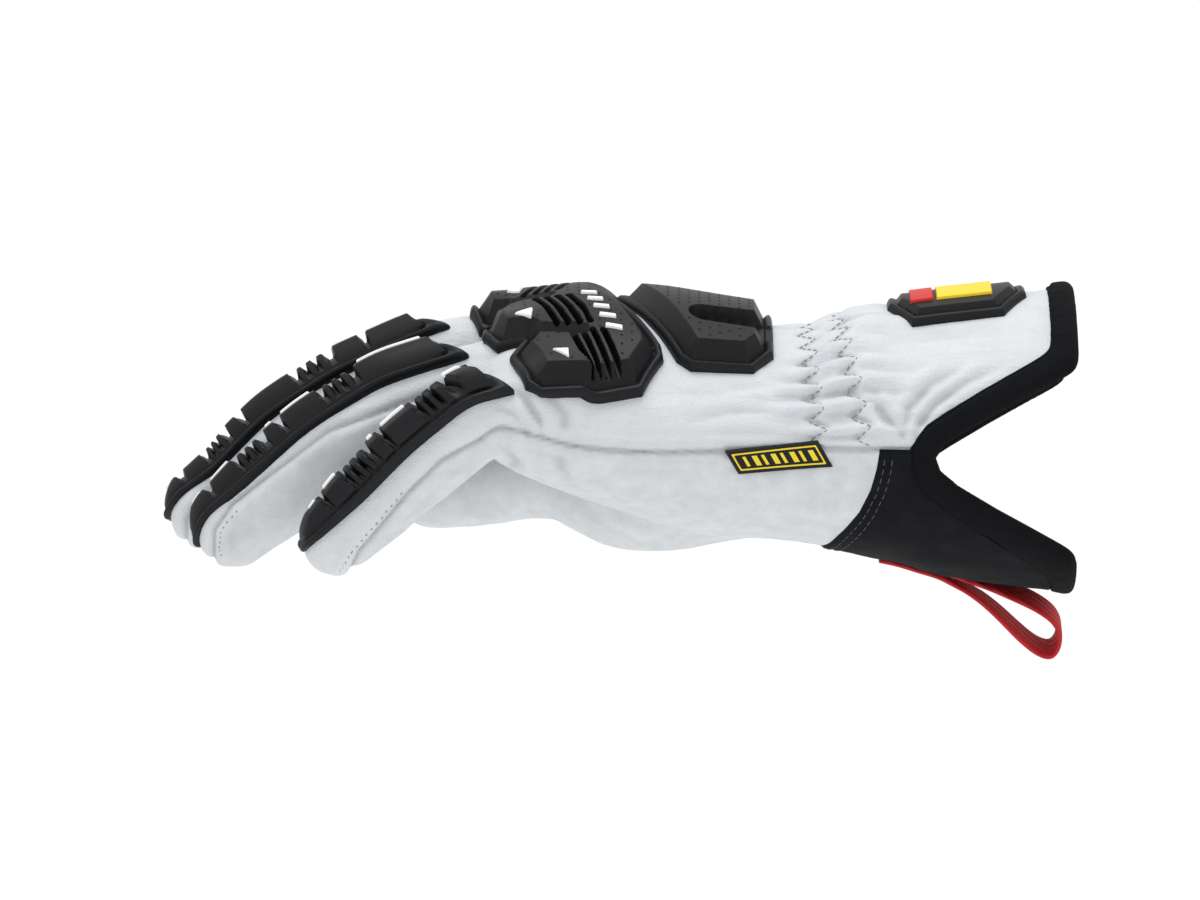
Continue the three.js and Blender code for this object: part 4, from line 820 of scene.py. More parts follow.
# Cuff binding.
# A strip of black polyester fleece folded over the cuff's cut edge and sewn down through both
# sides, so that each side swells out between the fold and the sunk line of stitches.
OUTER_SWELL = 2.7
INNER_SWELL = 2.3
SEWN_SHARE = 0.84
SEWN_DEPTH = 0.55
fleece_points = np.concatenate([skin_points, skin_normals], axis=1)
fleece_points, _, fleece_faces = cut_mesh(fleece_points, skin_faces, base_field - BINDING_WIDTH)
fleece_points, fleece_faces = kept_part(fleece_points, fleece_faces,
                                        edge_field(fleece_points[:, :3]))


def quartered(points, faces):
    """Splits every triangle into four."""
    edges = np.concatenate([faces[:, [0, 1]], faces[:, [1, 2]], faces[:, [2, 0]]])
    unique, back = np.unique(np.sort(edges, axis=1), axis=0, return_inverse=True)
    middle = points[unique].mean(axis=1)
    ab, bc, ca = (len(points) + back.ravel()).reshape(3, -1)
    a, b, c = faces.T
    made = [np.stack(t, 1) for t in ((a, ab, ca), (ab, b, bc), (ca, bc, c), (ab, bc, ca))]
    return np.concatenate([points, middle]), np.concatenate(made)


fleece_points, fleece_faces = quartered(fleece_points, fleece_faces)
fleece_sheet, fleece_normals = fleece_points[:, :3], fleece_points[:, 3:6]
fleece_normals = fleece_normals / np.linalg.norm(fleece_normals, axis=1, keepdims=True)
across = np.clip(edge_field(fleece_sheet) / BINDING_WIDTH, 0.0, 1.0)
swell = np.clip(1.0 - np.abs(2.0 * across - 1.0) ** 3.2, 0.0, 1.0) ** 0.5
sewn_line = np.exp(-((across - SEWN_SHARE) / 0.05) ** 2)
pile = 0.16 * noise(fleece_sheet, 2.3) + 0.3 * noise(fleece_sheet, 8.0)
outer = -LEATHER_WALL / 2 + swell * (OUTER_SWELL + pile) - SEWN_DEPTH * sewn_line
inner = -LEATHER_WALL / 2 - swell * INNER_SWELL
top = fleece_sheet + outer[:, None] * fleece_normals
bottom = fleece_sheet + inner[:, None] * fleece_normals
count = len(top)
rim = rim_edges(fleece_faces)
a, b = rim[:, 0], rim[:, 1]
faces = np.concatenate([fleece_faces, fleece_faces[:, ::-1] + count,
                        np.stack([b, a, a + count], 1), np.stack([b, a + count, b + count], 1)])
# Brushed fleece is a deep dull black, broken by its short uneven pile.
black_fleece, tree, shader = new_material("black_fleece", "#111214", 0.97)
shader.inputs["Specular IOR Level"].default_value = 0.12
place = add_node(tree, "ShaderNodeTexCoord").outputs["Object"]
nap = add_node(tree, "ShaderNodeTexNoise", [("Vector", place), ("Scale", 1 / (0.7 * MM)),
                                            ("Detail", 6.0), ("Roughness", 0.7)])
bump = add_node(tree, "ShaderNodeBump", [("Height", nap.outputs["Fac"]), ("Distance", 0.5 * MM)])
tree.links.new(bump.outputs["Normal"], shader.inputs["Normal"])
binding = add_object("cuff_binding_fleece", np.concatenate([top, bottom]), faces, black_fleece,
                     sharp=0)
seat(binding, "black_fleece", "cuff_binding")

# Moulded guards, their makers.
# Black rubber guards with a thin round-edged flange round raised blocks, sewn to the back. Each is
# a height over a flat pattern, laid on the finger or on the back of the hand.
FLANGE_THICK = 2.0
FLANGE_WIDTH = 2.45
FLANGE_ROUND = 1.1
GUARD_SEAT = 0.5
TRIM_RISE = 0.7
RUBBER_GRAIN = 0.25


def rubber_material(name, colour, roughness, grain):
    """Satin moulded rubber with a very fine etched grain."""
    material, tree, shader = new_material(name, colour, roughness)
    shader.inputs["Specular IOR Level"].default_value = 0.22
    place = add_node(tree, "ShaderNodeTexCoord").outputs["Object"]
    etch = add_node(tree, "ShaderNodeTexNoise", [("Vector", place), ("Detail", 3.0),
                                                 ("Scale", 1 / (RUBBER_GRAIN * MM))])
    bump = add_node(tree, "ShaderNodeBump", [("Height", etch.outputs["Fac"]),
                                             ("Distance", grain * MM)])
    tree.links.new(bump.outputs["Normal"], shader.inputs["Normal"])
    return material


black_rubber = rubber_material("black_moulded_rubber", "#0f1013", 0.42, 0.03)
# Darker, matt rubber for the flat discs that stand for the pits: painted shade in place of their
# hollows.
pit_shade_rubber = rubber_material("black_rubber_pit_shade", "#0c0c0e", 0.8, 0.02)
white_rubber = rubber_material("white_moulded_rubber", "#f4f5f5", 0.45, 0.02)
red_rubber = rubber_material("red_moulded_rubber", "#c92a22", 0.45, 0.02)
yellow_rubber = rubber_material("yellow_moulded_rubber", "#f0cf2c", 0.45, 0.02)


def flat_grid(low, high, cell):
    """Points and triangles of a flat grid between two corners."""
    counts = [max(2, int(np.ceil((h - l) / cell)) + 1) for l, h in zip(low, high)]
    u, v = (np.linspace(l, h, c) for l, h, c in zip(low, high, counts))
    points = np.stack(np.meshgrid(u, v, indexing="ij"), axis=-1).reshape(-1, 2)
    i, j = np.meshgrid(np.arange(counts[0] - 1), np.arange(counts[1] - 1), indexing="ij")
    a = (i * counts[1] + j).ravel()
    b = a + counts[1]
    faces = np.concatenate([np.stack([a, b, b + 1], 1), np.stack([a, b + 1, a + 1], 1)])
    return points, faces


def relief(flat, faces, rise, place, foot):
    """A moulding raised over a flat pattern, with its rim drawn down to a foot."""
    top = place(flat, rise)
    used, walls = rim_walls(faces, len(flat))
    low = place(flat[used], np.full(len(used), float(foot)))
    outward = place(flat, rise + 1.0) - top
    if np.einsum("ij,ij->", point_normals(top, faces), outward) < 0:
        faces, walls = faces[:, ::-1], walls[:, ::-1]
    return np.concatenate([top, low]), np.concatenate([faces, walls])


def round_edge(edge, width):
    """Share of the full height by the distance from an edge with a quarter-round profile."""
    t = np.clip(edge / width, 0.0, 1.0)
    return np.sqrt(1.0 - (1.0 - t) ** 2)


def flange_profile(edge):
    """Height of a flange by the distance from its edge: round edge, low lip, then a groove."""
    lip = 0.35 * np.exp(-((edge - 1.15) / 0.55) ** 2)
    groove = 0.75 * np.exp(-((edge - FLANGE_WIDTH) / 0.35) ** 2)
    return 1.75 * round_edge(edge, FLANGE_ROUND) + lip - groove


def soft_least(a, b, width):
    """The lesser of two distances, rounded off where they are alike."""
    return -width * np.logaddexp(-a / width, -b / width)


# Height of the back of the glove.
# The guards are sewn flat on the leather and follow its curve but not its creases. This gives that
# curve: the back of the hand and the fingers, with the valleys between the fingers filled.
skin_tree = BVHTree.FromPolygons(skin_shaped.tolist(), skin_faces.tolist())
VALLEY_FILL = 1.2


def hand_height(x, y):
    """Height of the back of the hand alone, falling away fast past its front."""
    crown, seam = hand_at(x, "crown"), hand_at(x, "seam")
    half = np.where(y < crown, crown - hand_at(x, "near"), hand_at(x, "far") - crown)
    share = np.clip(np.abs(y - crown) / half, 0.0, 0.999)
    rise = (hand_at(x, "top") - seam) * (1.0 - share ** BACK_CURVE) ** (1.0 / BACK_CURVE)
    return seam + rise - 3.0 * np.maximum(0.0, hand_table[0, 0] - x)


def back_height(x, y):
    """Height of hand and fingers over a place, with the valleys between fingers filled."""
    total = np.exp(hand_height(x, y) / VALLEY_FILL)
    for finger in FINGERS:
        limb = finger["limb"]
        along = -limb.middle[:, 0]
        middle_y, middle_z, slope = (np.interp(-x, along, values) for values in
                                     (limb.middle[:, 1], limb.middle[:, 2], -limb.ahead[:, 0]))
        high, wide = np.interp(-x, along, limb.high), np.interp(-x, along, limb.wide)
        across = np.clip(np.abs(y - middle_y) / wide, 0.0, 1.0)
        before = np.maximum(0.0, x - limb.middle[0, 0])
        top = middle_z + high * np.sqrt(1.0 - across ** 2) / slope - before
        total += np.exp(np.where(across < 1.0, top, -40.0) / VALLEY_FILL)
    return VALLEY_FILL * np.log(total)


# Finger guards.
# One guard runs down the back of each finger: blocks with sloped sides and a narrow top that
# carries a white bar, notches between them, and groups of three wedge-shaped ribs at the joints.
GUARD_TURN = np.radians(54.0)
FINGER_RISE = 4.7
FINGER_CELL = 0.34
FINGER_FOOT = -1.2
TIP_THIN = 0.55
TIP_ROUND = 6.5
HEAD_SHARE = 0.12
CHEVRON = 2.0
CORNER_SOFT = 0.9
BLOCK_FOOT = 0.24
BLOCK_WALL = 0.44
BLOCK_END = 0.55
RIB_SPREAD = 0.35
BAR_HALF = 0.55
BAR_CELL = 0.22
GUARD_PLACES = {
    "little": dict(start=23.3, length=60.6, skew=8.0, roll=0.0, pattern="short"),
    "ring": dict(start=34.1, length=80.0, skew=9.0, roll=14.0, pattern="long"),
    "middle": dict(start=38.3, length=83.1, skew=8.0, roll=17.0, pattern="split"),
    "index": dict(start=35.2, length=75.0, skew=8.0, roll=17.0, pattern="split"),
}
GUARD_PATTERNS = {
    "short": [
        ("block", 0.03, 0.09, (0.045, 0.085)), ("rib", 0.105, 0.135, None),
        ("rib", 0.145, 0.175, None), ("rib", 0.185, 0.215, None),
        ("block", 0.235, 0.4, (0.26, 0.38)), ("block", 0.415, 0.48, (0.43, 0.455)),
        ("rib", 0.51, 0.54, None), ("rib", 0.555, 0.585, None), ("rib", 0.6, 0.63, None),
        ("block", 0.65, 0.775, (0.67, 0.75)), ("block", 0.79, 0.94, (0.81, 0.85)),
    ],
    "long": [
        ("block", 0.03, 0.235, (0.04, 0.215)), ("rib", 0.255, 0.28, None),
        ("rib", 0.29, 0.315, None), ("rib", 0.325, 0.35, None),
        ("block", 0.37, 0.5, (0.39, 0.485)), ("block", 0.515, 0.57, (0.525, 0.55)),
        ("rib", 0.595, 0.62, None), ("rib", 0.63, 0.655, None), ("rib", 0.665, 0.69, None),
        ("block", 0.705, 0.815, (0.72, 0.8)), ("block", 0.83, 0.95, (0.845, 0.88)),
    ],
    "split": [
        ("block", 0.03, 0.165, (0.045, 0.15)), ("block", 0.18, 0.275, (0.195, 0.26)),
        ("rib", 0.295, 0.32, None), ("rib", 0.33, 0.355, None), ("rib", 0.365, 0.39, None),
        ("block", 0.41, 0.575, (0.43, 0.56)), ("block", 0.59, 0.645, (0.605, 0.63)),
        ("rib", 0.665, 0.69, None), ("rib", 0.7, 0.725, None), ("rib", 0.735, 0.76, None),
        ("block", 0.78, 0.865, (0.795, 0.85)), ("block", 0.88, 0.96, (0.89, 0.92)),
    ],
}


def finger_guard(finger):
    """The guard of one finger with its white bars."""
    limb, guard = finger["limb"], GUARD_PLACES[finger["name"]]
    length, pattern = guard["length"], GUARD_PATTERNS[guard["pattern"]]
    half = GUARD_TURN * ((finger["high"] + finger["wide"]) / 2.0 + FLANGE_THICK)

    def place(flat, rise):
        """Places on the finger for flat places with a rise, raised over the hand where they meet."""
        share, turn = flat[:, 0] / length, flat[:, 1] / half
        head = np.maximum(0.0, 1.0 - share / HEAD_SHARE) * np.where(turn > 0, 1.0, 0.1)
        sweep = CHEVRON + (guard["skew"] - CHEVRON) * head
        fade = np.clip((1.0 - share) / HEAD_SHARE, 0.0, 1.0)
        distance = guard["start"] + flat[:, 0] - sweep * fade * np.abs(turn)
        low = 1.0 - TIP_THIN * smoothstep(0.65, 0.95, share)
        angle = turn * GUARD_TURN - np.radians(guard["roll"])
        points = limb.skin(distance, angle, np.where(rise > 0, rise * low + GUARD_SEAT, rise))
        floor = hand_height(points[:, 0], points[:, 1]) + rise + GUARD_SEAT
        missing = np.maximum(0.0, floor - points[:, 2])
        points[:, 2] += missing * smoothstep(-0.3, 0.1, turn)
        return points

    def side_edge(flat):
        """Distance inside the guard's long sides and round tip."""
        over_side = np.abs(flat[:, 1]) - (half - TIP_ROUND)
        over_tip = flat[:, 0] - (length - TIP_ROUND)
        outside = np.hypot(np.maximum(over_side, 0.0), np.maximum(over_tip, 0.0))
        return TIP_ROUND - outside - np.minimum(np.maximum(over_side, over_tip), 0.0)

    flat, faces = flat_grid((0.0, -half), (length, half), FINGER_CELL)
    flat, faces = kept_part(flat, faces, soft_least(side_edge(flat), flat[:, 0], CORNER_SOFT))
    side = side_edge(flat)
    edge = soft_least(side, flat[:, 0], CORNER_SOFT)
    steep = np.clip((side - BLOCK_FOOT * half) / (BLOCK_WALL * half), 0.0, 1.0)
    raised = np.zeros(len(flat))
    for form, start, end, _ in pattern:
        if form == "rib":
            middle, reach = (start + end) / 2 * length, (end - start) / 2 * length + RIB_SPREAD
            wedge = 1.0 - np.abs(flat[:, 0] - middle) / reach
            form_rise = np.minimum(0.88 * steep, 1.7 * wedge - 0.7 * (1.0 - steep))
        else:
            inner = np.minimum(flat[:, 0] - start * length, end * length - flat[:, 0])
            form_rise = np.minimum(steep, inner / BLOCK_END)
        raised = np.maximum(raised, form_rise)
    rise = flange_profile(edge)
    block = FLANGE_THICK - 0.2 + (FINGER_RISE - FLANGE_THICK + 0.2) * raised
    rise = np.where((raised > 0) & (block > rise), block, rise)
    points, faces = relief(flat, faces, rise, place, FINGER_FOOT)
    piece = add_object(finger["name"] + "_guard_relief", points, faces, black_rubber, sharp=30.0)
    seat(piece, "black_rubber", finger["name"] + "_guard")
    for k, (start, end) in enumerate(bar for *_, bar in pattern if bar):
        flat, faces = flat_grid((start * length, -BAR_HALF), (end * length, BAR_HALF), BAR_CELL)
        inner = np.minimum(np.minimum(flat[:, 0] - start * length, end * length - flat[:, 0]),
                           BAR_HALF - np.abs(flat[:, 1]))
        rise = FINGER_RISE + 0.05 + TRIM_RISE * round_edge(inner + 0.05, 0.4)
        points, faces = relief(flat, faces, rise, place, FINGER_RISE - 0.5)
        name = f"{finger['name']}_bar_{k + 1}"
        bar = add_object(name + "_relief", points, faces, white_rubber, sharp=0)
        seat(bar, "white_rubber", name)


for finger in FINGERS:
    finger_guard(finger)

# Flat patterns on the back.
# The knuckle and arrow guards and the badge are drawn along x and along the arc across the
# knuckles, so that their widths stay true.
ARC_X = -72.0
ARC_STEPS = 800
PALM_LENGTH = 88.0
HALF_BREADTH = 44.0
GUARD_HEIGHT = 5.6
GUARD_CELL = 0.3
GUARD_FOOT = -1.4
arc_y = np.linspace(-42.8, 43.1, ARC_STEPS)
arc_z = back_height(np.full(ARC_STEPS, ARC_X), arc_y)
arc_length = np.concatenate([[0.0], np.cumsum(np.hypot(np.diff(arc_y), np.diff(arc_z)))])
arc_length -= np.interp(0.0, arc_y, arc_length)


def on_arc(x, y):
    """Flat places for places seen from above."""
    return np.stack([x, np.interp(y, arc_y, arc_length)], axis=-1)


def from_above(rows):
    """Flat places for rows of shares of the palm's length and of half the hand's breadth."""
    rows = np.array(rows, float)
    return on_arc(-rows[:, 0] * PALM_LENGTH, rows[:, 1] * HALF_BREADTH)


def lay(flat, rise):
    """Places flat points with a rise on the back of the glove."""
    x, y = flat[:, 0], np.interp(flat[:, 1], arc_length, arc_y)
    step = 0.8
    slope_x = (back_height(x + step, y) - back_height(x - step, y)) / (2 * step)
    slope_y = (back_height(x, y + step) - back_height(x, y - step)) / (2 * step)
    normal = np.stack([-slope_x, -slope_y, np.ones(len(x))], axis=1)
    normal /= np.linalg.norm(normal, axis=1, keepdims=True)
    base = np.stack([x, y, back_height(x, y)], axis=1)
    return base + (rise + GUARD_SEAT)[:, None] * normal


def polygon_distance(points, outline):
    """Distance of 2-D points inside a closed outline, negative outside it."""
    outline = np.asarray(outline, float)
    best = np.full(len(points), 1e9)
    inside = np.zeros(len(points), bool)
    for a, b in zip(outline, np.roll(outline, -1, axis=0)):
        best = np.minimum(best, segment_distance(points, a, b)[0])
        crosses = (a[1] > points[:, 1]) != (b[1] > points[:, 1])
        run, climb = b - a
        at = a[0] + (points[:, 1] - a[1]) * run / (climb if climb else 1e-9)
        inside ^= crosses & (points[:, 0] < at)
    return np.where(inside, best, -best)


def laid_piece(name, outline, height, foot, material, slot, node, cell=GUARD_CELL):
    """A moulding with an outline on the back; height gives its rise from places and edge."""
    low, high = np.min(outline, axis=0), np.max(outline, axis=0)
    flat, faces = flat_grid(low, high, cell)
    flat, faces = kept_part(flat, faces, polygon_distance(flat, outline))
    rise = height(flat, np.maximum(0.0, polygon_distance(flat, outline)))
    points, faces = relief(flat, faces, rise, lay, foot)
    seat(add_object(name, points, faces, material, sharp=30.0), slot, node)


# Knuckle guard.
# Four lobes over the knuckles with ribs behind each and a band across the back; the lobes have
# wide sloped edges, small pits and a white triangle, and plain bars stand on the band.
KNUCKLE_OUTLINE = [
    (0.6, -0.825), (0.74, -0.893), (0.865, -0.932), (0.91, -0.905), (0.955, -0.61),
    (0.92, -0.47), (0.99, -0.44), (1.035, -0.3), (1.035, -0.1), (0.99, 0.01), (1.05, 0.06),
    (1.078, 0.19), (1.078, 0.36),
    (1.05, 0.46), (0.99, 0.5), (1.04, 0.55), (1.07, 0.66), (1.06, 0.82), (1.02, 0.92),
    (0.73, 0.94), (0.62, 0.86), (0.55, 0.7), (0.67, 0.26), (0.515, -0.49), (0.508, -0.59),
    (0.57, -0.81),
]
LOBES = [(0.781, -0.68, 1), (0.875, -0.26, 1), (0.905, 0.26, -1), (0.875, 0.73, -1)]
LOBE_VALLEYS = [((0.92, -0.47), (0.75, -0.5)), ((0.99, 0.01), (0.84, 0.0)),
                ((0.99, 0.5), (0.84, 0.48))]
RIB_PITCH = 2.75
GROOVE_HALF = 8.6
GROOVE_TURN = 0.3
GROOVES = 4
WALL_START = 1.1
KNUCKLE_BEVEL = 3.4
VALLEY_HALF = 2.6
VALLEY_DEPTH = 2.7
GROOVE_FLOOR = 2.3
PIT_ROW = 2.6
PIT_STEP = 3.1
PIT_RADIUS = 0.36
PIT_SIDES = 8
PIT_MARGIN = 6.6
TRIM_CELL = 0.22
TRIM_ROUND = 0.35
TRIANGLE = [(-2.3, 0.3), (1.6, -2.3), (2.0, 2.0)]
TRIANGLE_MIDDLE = (2.6, 2.8)
BAND_BARS = 5
BAND_BAR = [(-2.1, -0.8), (2.1, -1.6), (2.1, -0.1), (-2.1, 0.8)]
knuckle_outline = from_above(KNUCKLE_OUTLINE)


def groove_depth(flat):
    """1 in the grooves between the ribs, 0 outside them."""
    depth = np.zeros(len(flat))
    for ahead, side, lean in LOBES:
        start = from_above([(ahead, side)])[0]
        way = np.array([-np.sin(lean * GROOVE_TURN), np.cos(lean * GROOVE_TURN)])
        for k in range(1, GROOVES + 1):
            off = flat - start - np.array([k * RIB_PITCH, 0.0])
            along = np.abs(off @ way) - GROOVE_HALF
            across = np.abs(off @ np.array([way[1], -way[0]]))
            distance = np.where(along > 0, np.hypot(along, across), across)
            depth = np.maximum(depth, 1.0 - smoothstep(0.45, 0.85, distance))
    return depth


def valley_depth(flat):
    """1 in the bottoms of the valleys between the lobes, 0 outside them."""
    depth = np.zeros(len(flat))
    for ends in LOBE_VALLEYS:
        distance, _ = segment_distance(flat, *from_above(ends), low=-0.3)
        depth = np.maximum(depth, np.clip(1.0 - distance / VALLEY_HALF, 0.0, 1.0))
    return depth


def wall_face(edge, width, bevel, height):
    """Height of a wall that starts past a flange and slopes up to a flat face."""
    wall = np.clip((edge - width) / bevel, 0.0, 1.0)
    return (height - WALL_START) * wall + WALL_START * (edge > width)


def guard_face(edge, bevel):
    """Flange, then a flat sloped wall up to the flat face."""
    return np.maximum(flange_profile(edge), wall_face(edge, FLANGE_WIDTH, bevel, GUARD_HEIGHT))


def knuckle_height(flat, edge):
    rise = guard_face(edge, KNUCKLE_BEVEL)
    rise = np.minimum(rise, GUARD_HEIGHT - VALLEY_DEPTH * valley_depth(flat))
    inside = smoothstep(2.8, 3.6, edge)
    return rise - inside * groove_depth(flat) * np.maximum(0.0, rise - GROOVE_FLOOR)


laid_piece("knuckle_guard_relief", knuckle_outline, knuckle_height, GUARD_FOOT, black_rubber,
           "black_rubber", "knuckle_guard")


def pits(name, outline, clear):
    """Small round pits in staggered rows over the flat face of a guard, drawn as flat discs of
    darker, matt rubber: painted shade in place of their hollows.
    """
    low, high = outline.min(axis=0), outline.max(axis=0)
    places = []
    for row, x in enumerate(np.arange(low[0], high[0], PIT_ROW)):
        for y in np.arange(low[1] + (row % 2) * PIT_STEP / 2, high[1], PIT_STEP):
            places.append((x, y))
    places = np.array(places)
    places = places[(polygon_distance(places, outline) > PIT_MARGIN) & clear(places)]
    turns = np.linspace(0, 2 * np.pi, PIT_SIDES, endpoint=False)
    ring = PIT_RADIUS * np.stack([np.cos(turns), np.sin(turns)], axis=1)
    flat = (places[:, None, :] + ring[None]).reshape(-1, 2)
    points = lay(flat, np.full(len(flat), GUARD_HEIGHT + 0.04))
    faces = np.arange(len(flat)).reshape(-1, PIT_SIDES)
    fans = [faces[:, [0, k, k + 1]] for k in range(1, PIT_SIDES - 1)]
    piece = add_object(name, points, np.concatenate(fans), pit_shade_rubber, sharp=0)
    seat(piece, "black_rubber")


def clear_of_ribs(flat):
    """Where the knuckle guard's face has no groove, valley or triangle."""
    near_trim = np.zeros(len(flat), bool)
    for ahead, side, _ in LOBES:
        middle = from_above([(ahead, side)])[0] - (2.6, 0.0)
        near_trim |= np.hypot(*(flat - middle).T) < 3.4
    grown = [groove_depth(flat + shift) for shift in
             ((1.0, 0.0), (-1.0, 0.0), (0.0, 0.9), (0.0, -0.9), (0.0, 0.0))]
    return (np.max(grown, axis=0) < 0.05) & (valley_depth(flat) < 0.02) & ~near_trim


pits("knuckle_pits", knuckle_outline, clear_of_ribs)


def trim(name, outline, base, material, slot):
    """A thin raised plate with a round edge on the face of a guard."""
    laid_piece(name + "_relief", outline,
               lambda flat, edge: base + TRIM_RISE * round_edge(edge, TRIM_ROUND),
               base - 0.5, material, slot, name, cell=TRIM_CELL)


for k, (ahead, side, _) in enumerate(LOBES):
    middle = from_above([(ahead, side)])[0] - TRIANGLE_MIDDLE
    trim(f"knuckle_triangle_{k + 1}", middle + np.array(TRIANGLE), GUARD_HEIGHT, white_rubber,
         "white_rubber")
for k in range(BAND_BARS):
    middle = from_above([(0.655 + 0.017 * k, -0.48 + 0.105 * k)])[0]
    trim(f"band_bar_{k + 1}", middle + np.array(BAND_BAR), GUARD_HEIGHT, white_rubber,
         "white_rubber")

# Arrow guard.
# An arrowhead plate of the same black rubber, sewn on between knuckles and wrist by its flange. It
# has sloped sides, small pits and a round-ended slot that runs in from the wrist side.
ARROW_OUTLINE = [
    (0.648, 0.24), (0.47, -0.57), (0.43, -0.62), (0.245, -0.57), (0.185, -0.42), (0.185, 0.5),
    (0.235, 0.75), (0.43, 0.83), (0.47, 0.81),
]
SLOT = [(0.392, -0.225), (0.1, -0.2)]
SLOT_HALF = 3.6
SLOT_SPREAD = 1.0
SLOT_FLOOR = 1.3
SLOT_WALL = 0.9
SLOT_CLEAR = 1.9
ARROW_BEVEL = 3.2
arrow_outline = from_above(ARROW_OUTLINE)


def slot_distance(flat):
    """Distance outside the arrow guard's round-ended slot."""
    distance, share = segment_distance(flat, *from_above(SLOT))
    return distance - SLOT_HALF - SLOT_SPREAD * share


def arrow_height(flat, edge):
    wall = np.clip(slot_distance(flat) / SLOT_WALL, 0.0, 1.0)
    in_slot = SLOT_FLOOR + (GUARD_HEIGHT - SLOT_FLOOR) * wall
    return np.minimum(guard_face(edge, ARROW_BEVEL), in_slot)


laid_piece("arrow_guard_relief", arrow_outline, arrow_height, GUARD_FOOT, black_rubber,
           "black_rubber", "arrow_guard")
pits("arrow_pits", arrow_outline, lambda flat: slot_distance(flat) > SLOT_CLEAR)

# Cuff badge.
# A small eight-sided badge of black rubber, sewn to the cuff by its thin flange. Its red and
# yellow plates are moulded on in coloured rubber and left plain.
BADGE_START = 13.5
BADGE_LENGTH = 36.0
BADGE_WIDTH = 34.0
BADGE_MIDDLE = 5.28
BADGE_HEIGHT = 2.8
BADGE_FLANGE = 2.4
BADGE_BEVEL = 1.6
BADGE_FOOT = -1.2
PLATE_HALF = 0.54
BADGE_OUTLINE = [(0, -0.3), (0.17, -0.96), (0.83, -0.96), (1, -0.3), (1, 0.3), (0.83, 1),
                 (0.17, 1), (0, 0.3)]


def badge_places(rows):
    """Flat places for rows of shares of the badge's length and of half its width."""
    rows = np.array(rows, float)
    return on_arc(BADGE_START + rows[:, 0] * BADGE_LENGTH,
                  BADGE_MIDDLE + rows[:, 1] * BADGE_WIDTH / 2)


def badge_height(flat, edge):
    return np.maximum(0.75 * flange_profile(edge),
                      wall_face(edge, BADGE_FLANGE, BADGE_BEVEL, BADGE_HEIGHT))


laid_piece("cuff_badge_relief", badge_places(BADGE_OUTLINE), badge_height, BADGE_FOOT,
           black_rubber, "black_rubber", "cuff_badge")
for name, start, end, material, slot in [
    ("badge_red_plate", 0.17, 0.34, red_rubber, "red_rubber"),
    ("badge_yellow_plate", 0.36, 0.76, yellow_rubber, "yellow_rubber"),
]:
    corners = [(start, -PLATE_HALF), (end, -PLATE_HALF), (end, PLATE_HALF), (start, PLATE_HALF)]
    trim(name, badge_places(corners), BADGE_HEIGHT, material, slot)

# Side label.
# A small black woven label with a yellow woven border, sewn over the side seam. Its lettering is
# left as plain slanted bars.
LABEL_CORNERS = np.array([(-29.1, 1.1), (-25.5, -5.2), (-1.3, -3.6), (-5.2, 3.2)])
LABEL_CELL = 0.22
LABEL_THICK = 0.9
THREAD_RISE = 0.98
LABEL_BARS = 8
# Woven polyester is flat and dull; its raised threads catch only a little more light.
label_cloth, _, _ = new_material("black_woven_label", "#141416", 0.9)
yellow_thread, _, _ = new_material("yellow_label_thread", "#e6cf2f", 0.8)


def near_skin(flat, rise):
    """Places x and z on the near side of the glove, on a smooth sheet over the leather there."""
    probes, _ = flat_grid((-30.0, -6.0), (0.0, 4.0), 1.5)
    depth = []
    for x, z in probes:
        hit = skin_tree.ray_cast(Vector((x, -90.0, z)), Vector((0.0, 1.0, 0.0)))[0]
        depth.append(hit.y)

    def terms(p):
        x, z = p[:, 0] / 10.0, p[:, 1] / 10.0
        return np.stack([np.ones(len(p)), x, z, x * x, x * z, z * z, x ** 3], axis=1)

    fit = np.linalg.lstsq(terms(probes), np.array(depth), rcond=None)[0]
    return np.stack([flat[:, 0], terms(flat) @ fit - 0.35 - rise, flat[:, 1]], axis=1)


def label_part(name, inner, outer, rise, material, slot, *nodes):
    """The label's cloth, or its border where inner gives the distance at which that ends."""
    flat, faces = flat_grid(LABEL_CORNERS.min(axis=0), LABEL_CORNERS.max(axis=0), LABEL_CELL)
    flat, faces, _ = cut_mesh(flat, faces, polygon_distance(flat, LABEL_CORNERS) - outer)
    if inner:
        flat, _, faces = cut_mesh(flat, faces, polygon_distance(flat, LABEL_CORNERS) - inner)
    flat, faces = tight(flat, faces)
    edge = polygon_distance(flat, LABEL_CORNERS)
    height = rise * round_edge(np.maximum(0.0, edge) + 0.02, 0.4)
    points, faces = relief(flat, faces, height, near_skin, -0.6 if not inner else rise - 0.2)
    seat(add_object(name, points, faces, material, sharp=40.0), slot, *nodes)


label_part("side_label_cloth", 0.0, 0.0, LABEL_THICK, label_cloth, "label_cloth", "side_label")
label_part("side_label_border", 1.4, 1.0, THREAD_RISE, yellow_thread, "yellow_rubber")
label_bars = []
for k in range(LABEL_BARS):
    across = LABEL_CORNERS[0] + (0.14 + 0.1 * k) * (LABEL_CORNERS[3] - LABEL_CORNERS[0])
    below = LABEL_CORNERS[1] + (0.14 + 0.1 * k) * (LABEL_CORNERS[2] - LABEL_CORNERS[1])
    top, bottom = across + 0.3 * (below - across), across + 0.7 * (below - across)
    width = np.array([1.35 if k % 2 else 0.8, 0.1])
    flat = np.array([top, bottom, bottom + width, top + width])
    label_bars.append((near_skin(flat, np.full(4, THREAD_RISE)), np.array([(0, 1, 2), (0, 2, 3)])))
points, faces = joined(label_bars)
seat(add_object("side_label_bars", points, faces, yellow_thread, sharp=0), "yellow_rubber")

# Stitching.
# Grey thread in short straight stitches: two zigzag lines that gather the wrist over elastic, the
# seam at the fingertips and two rows round the front edge of the black suede panel.
THREAD_SIDES = 6
# Bonded polyester thread has a soft dull shine, which keeps the single stitches in view.
grey_thread, _, _ = new_material("grey_sewing_thread", "#7d8389", 0.8)
dark_thread, _, _ = new_material("dark_grey_sewing_thread", "#45474c", 0.9)


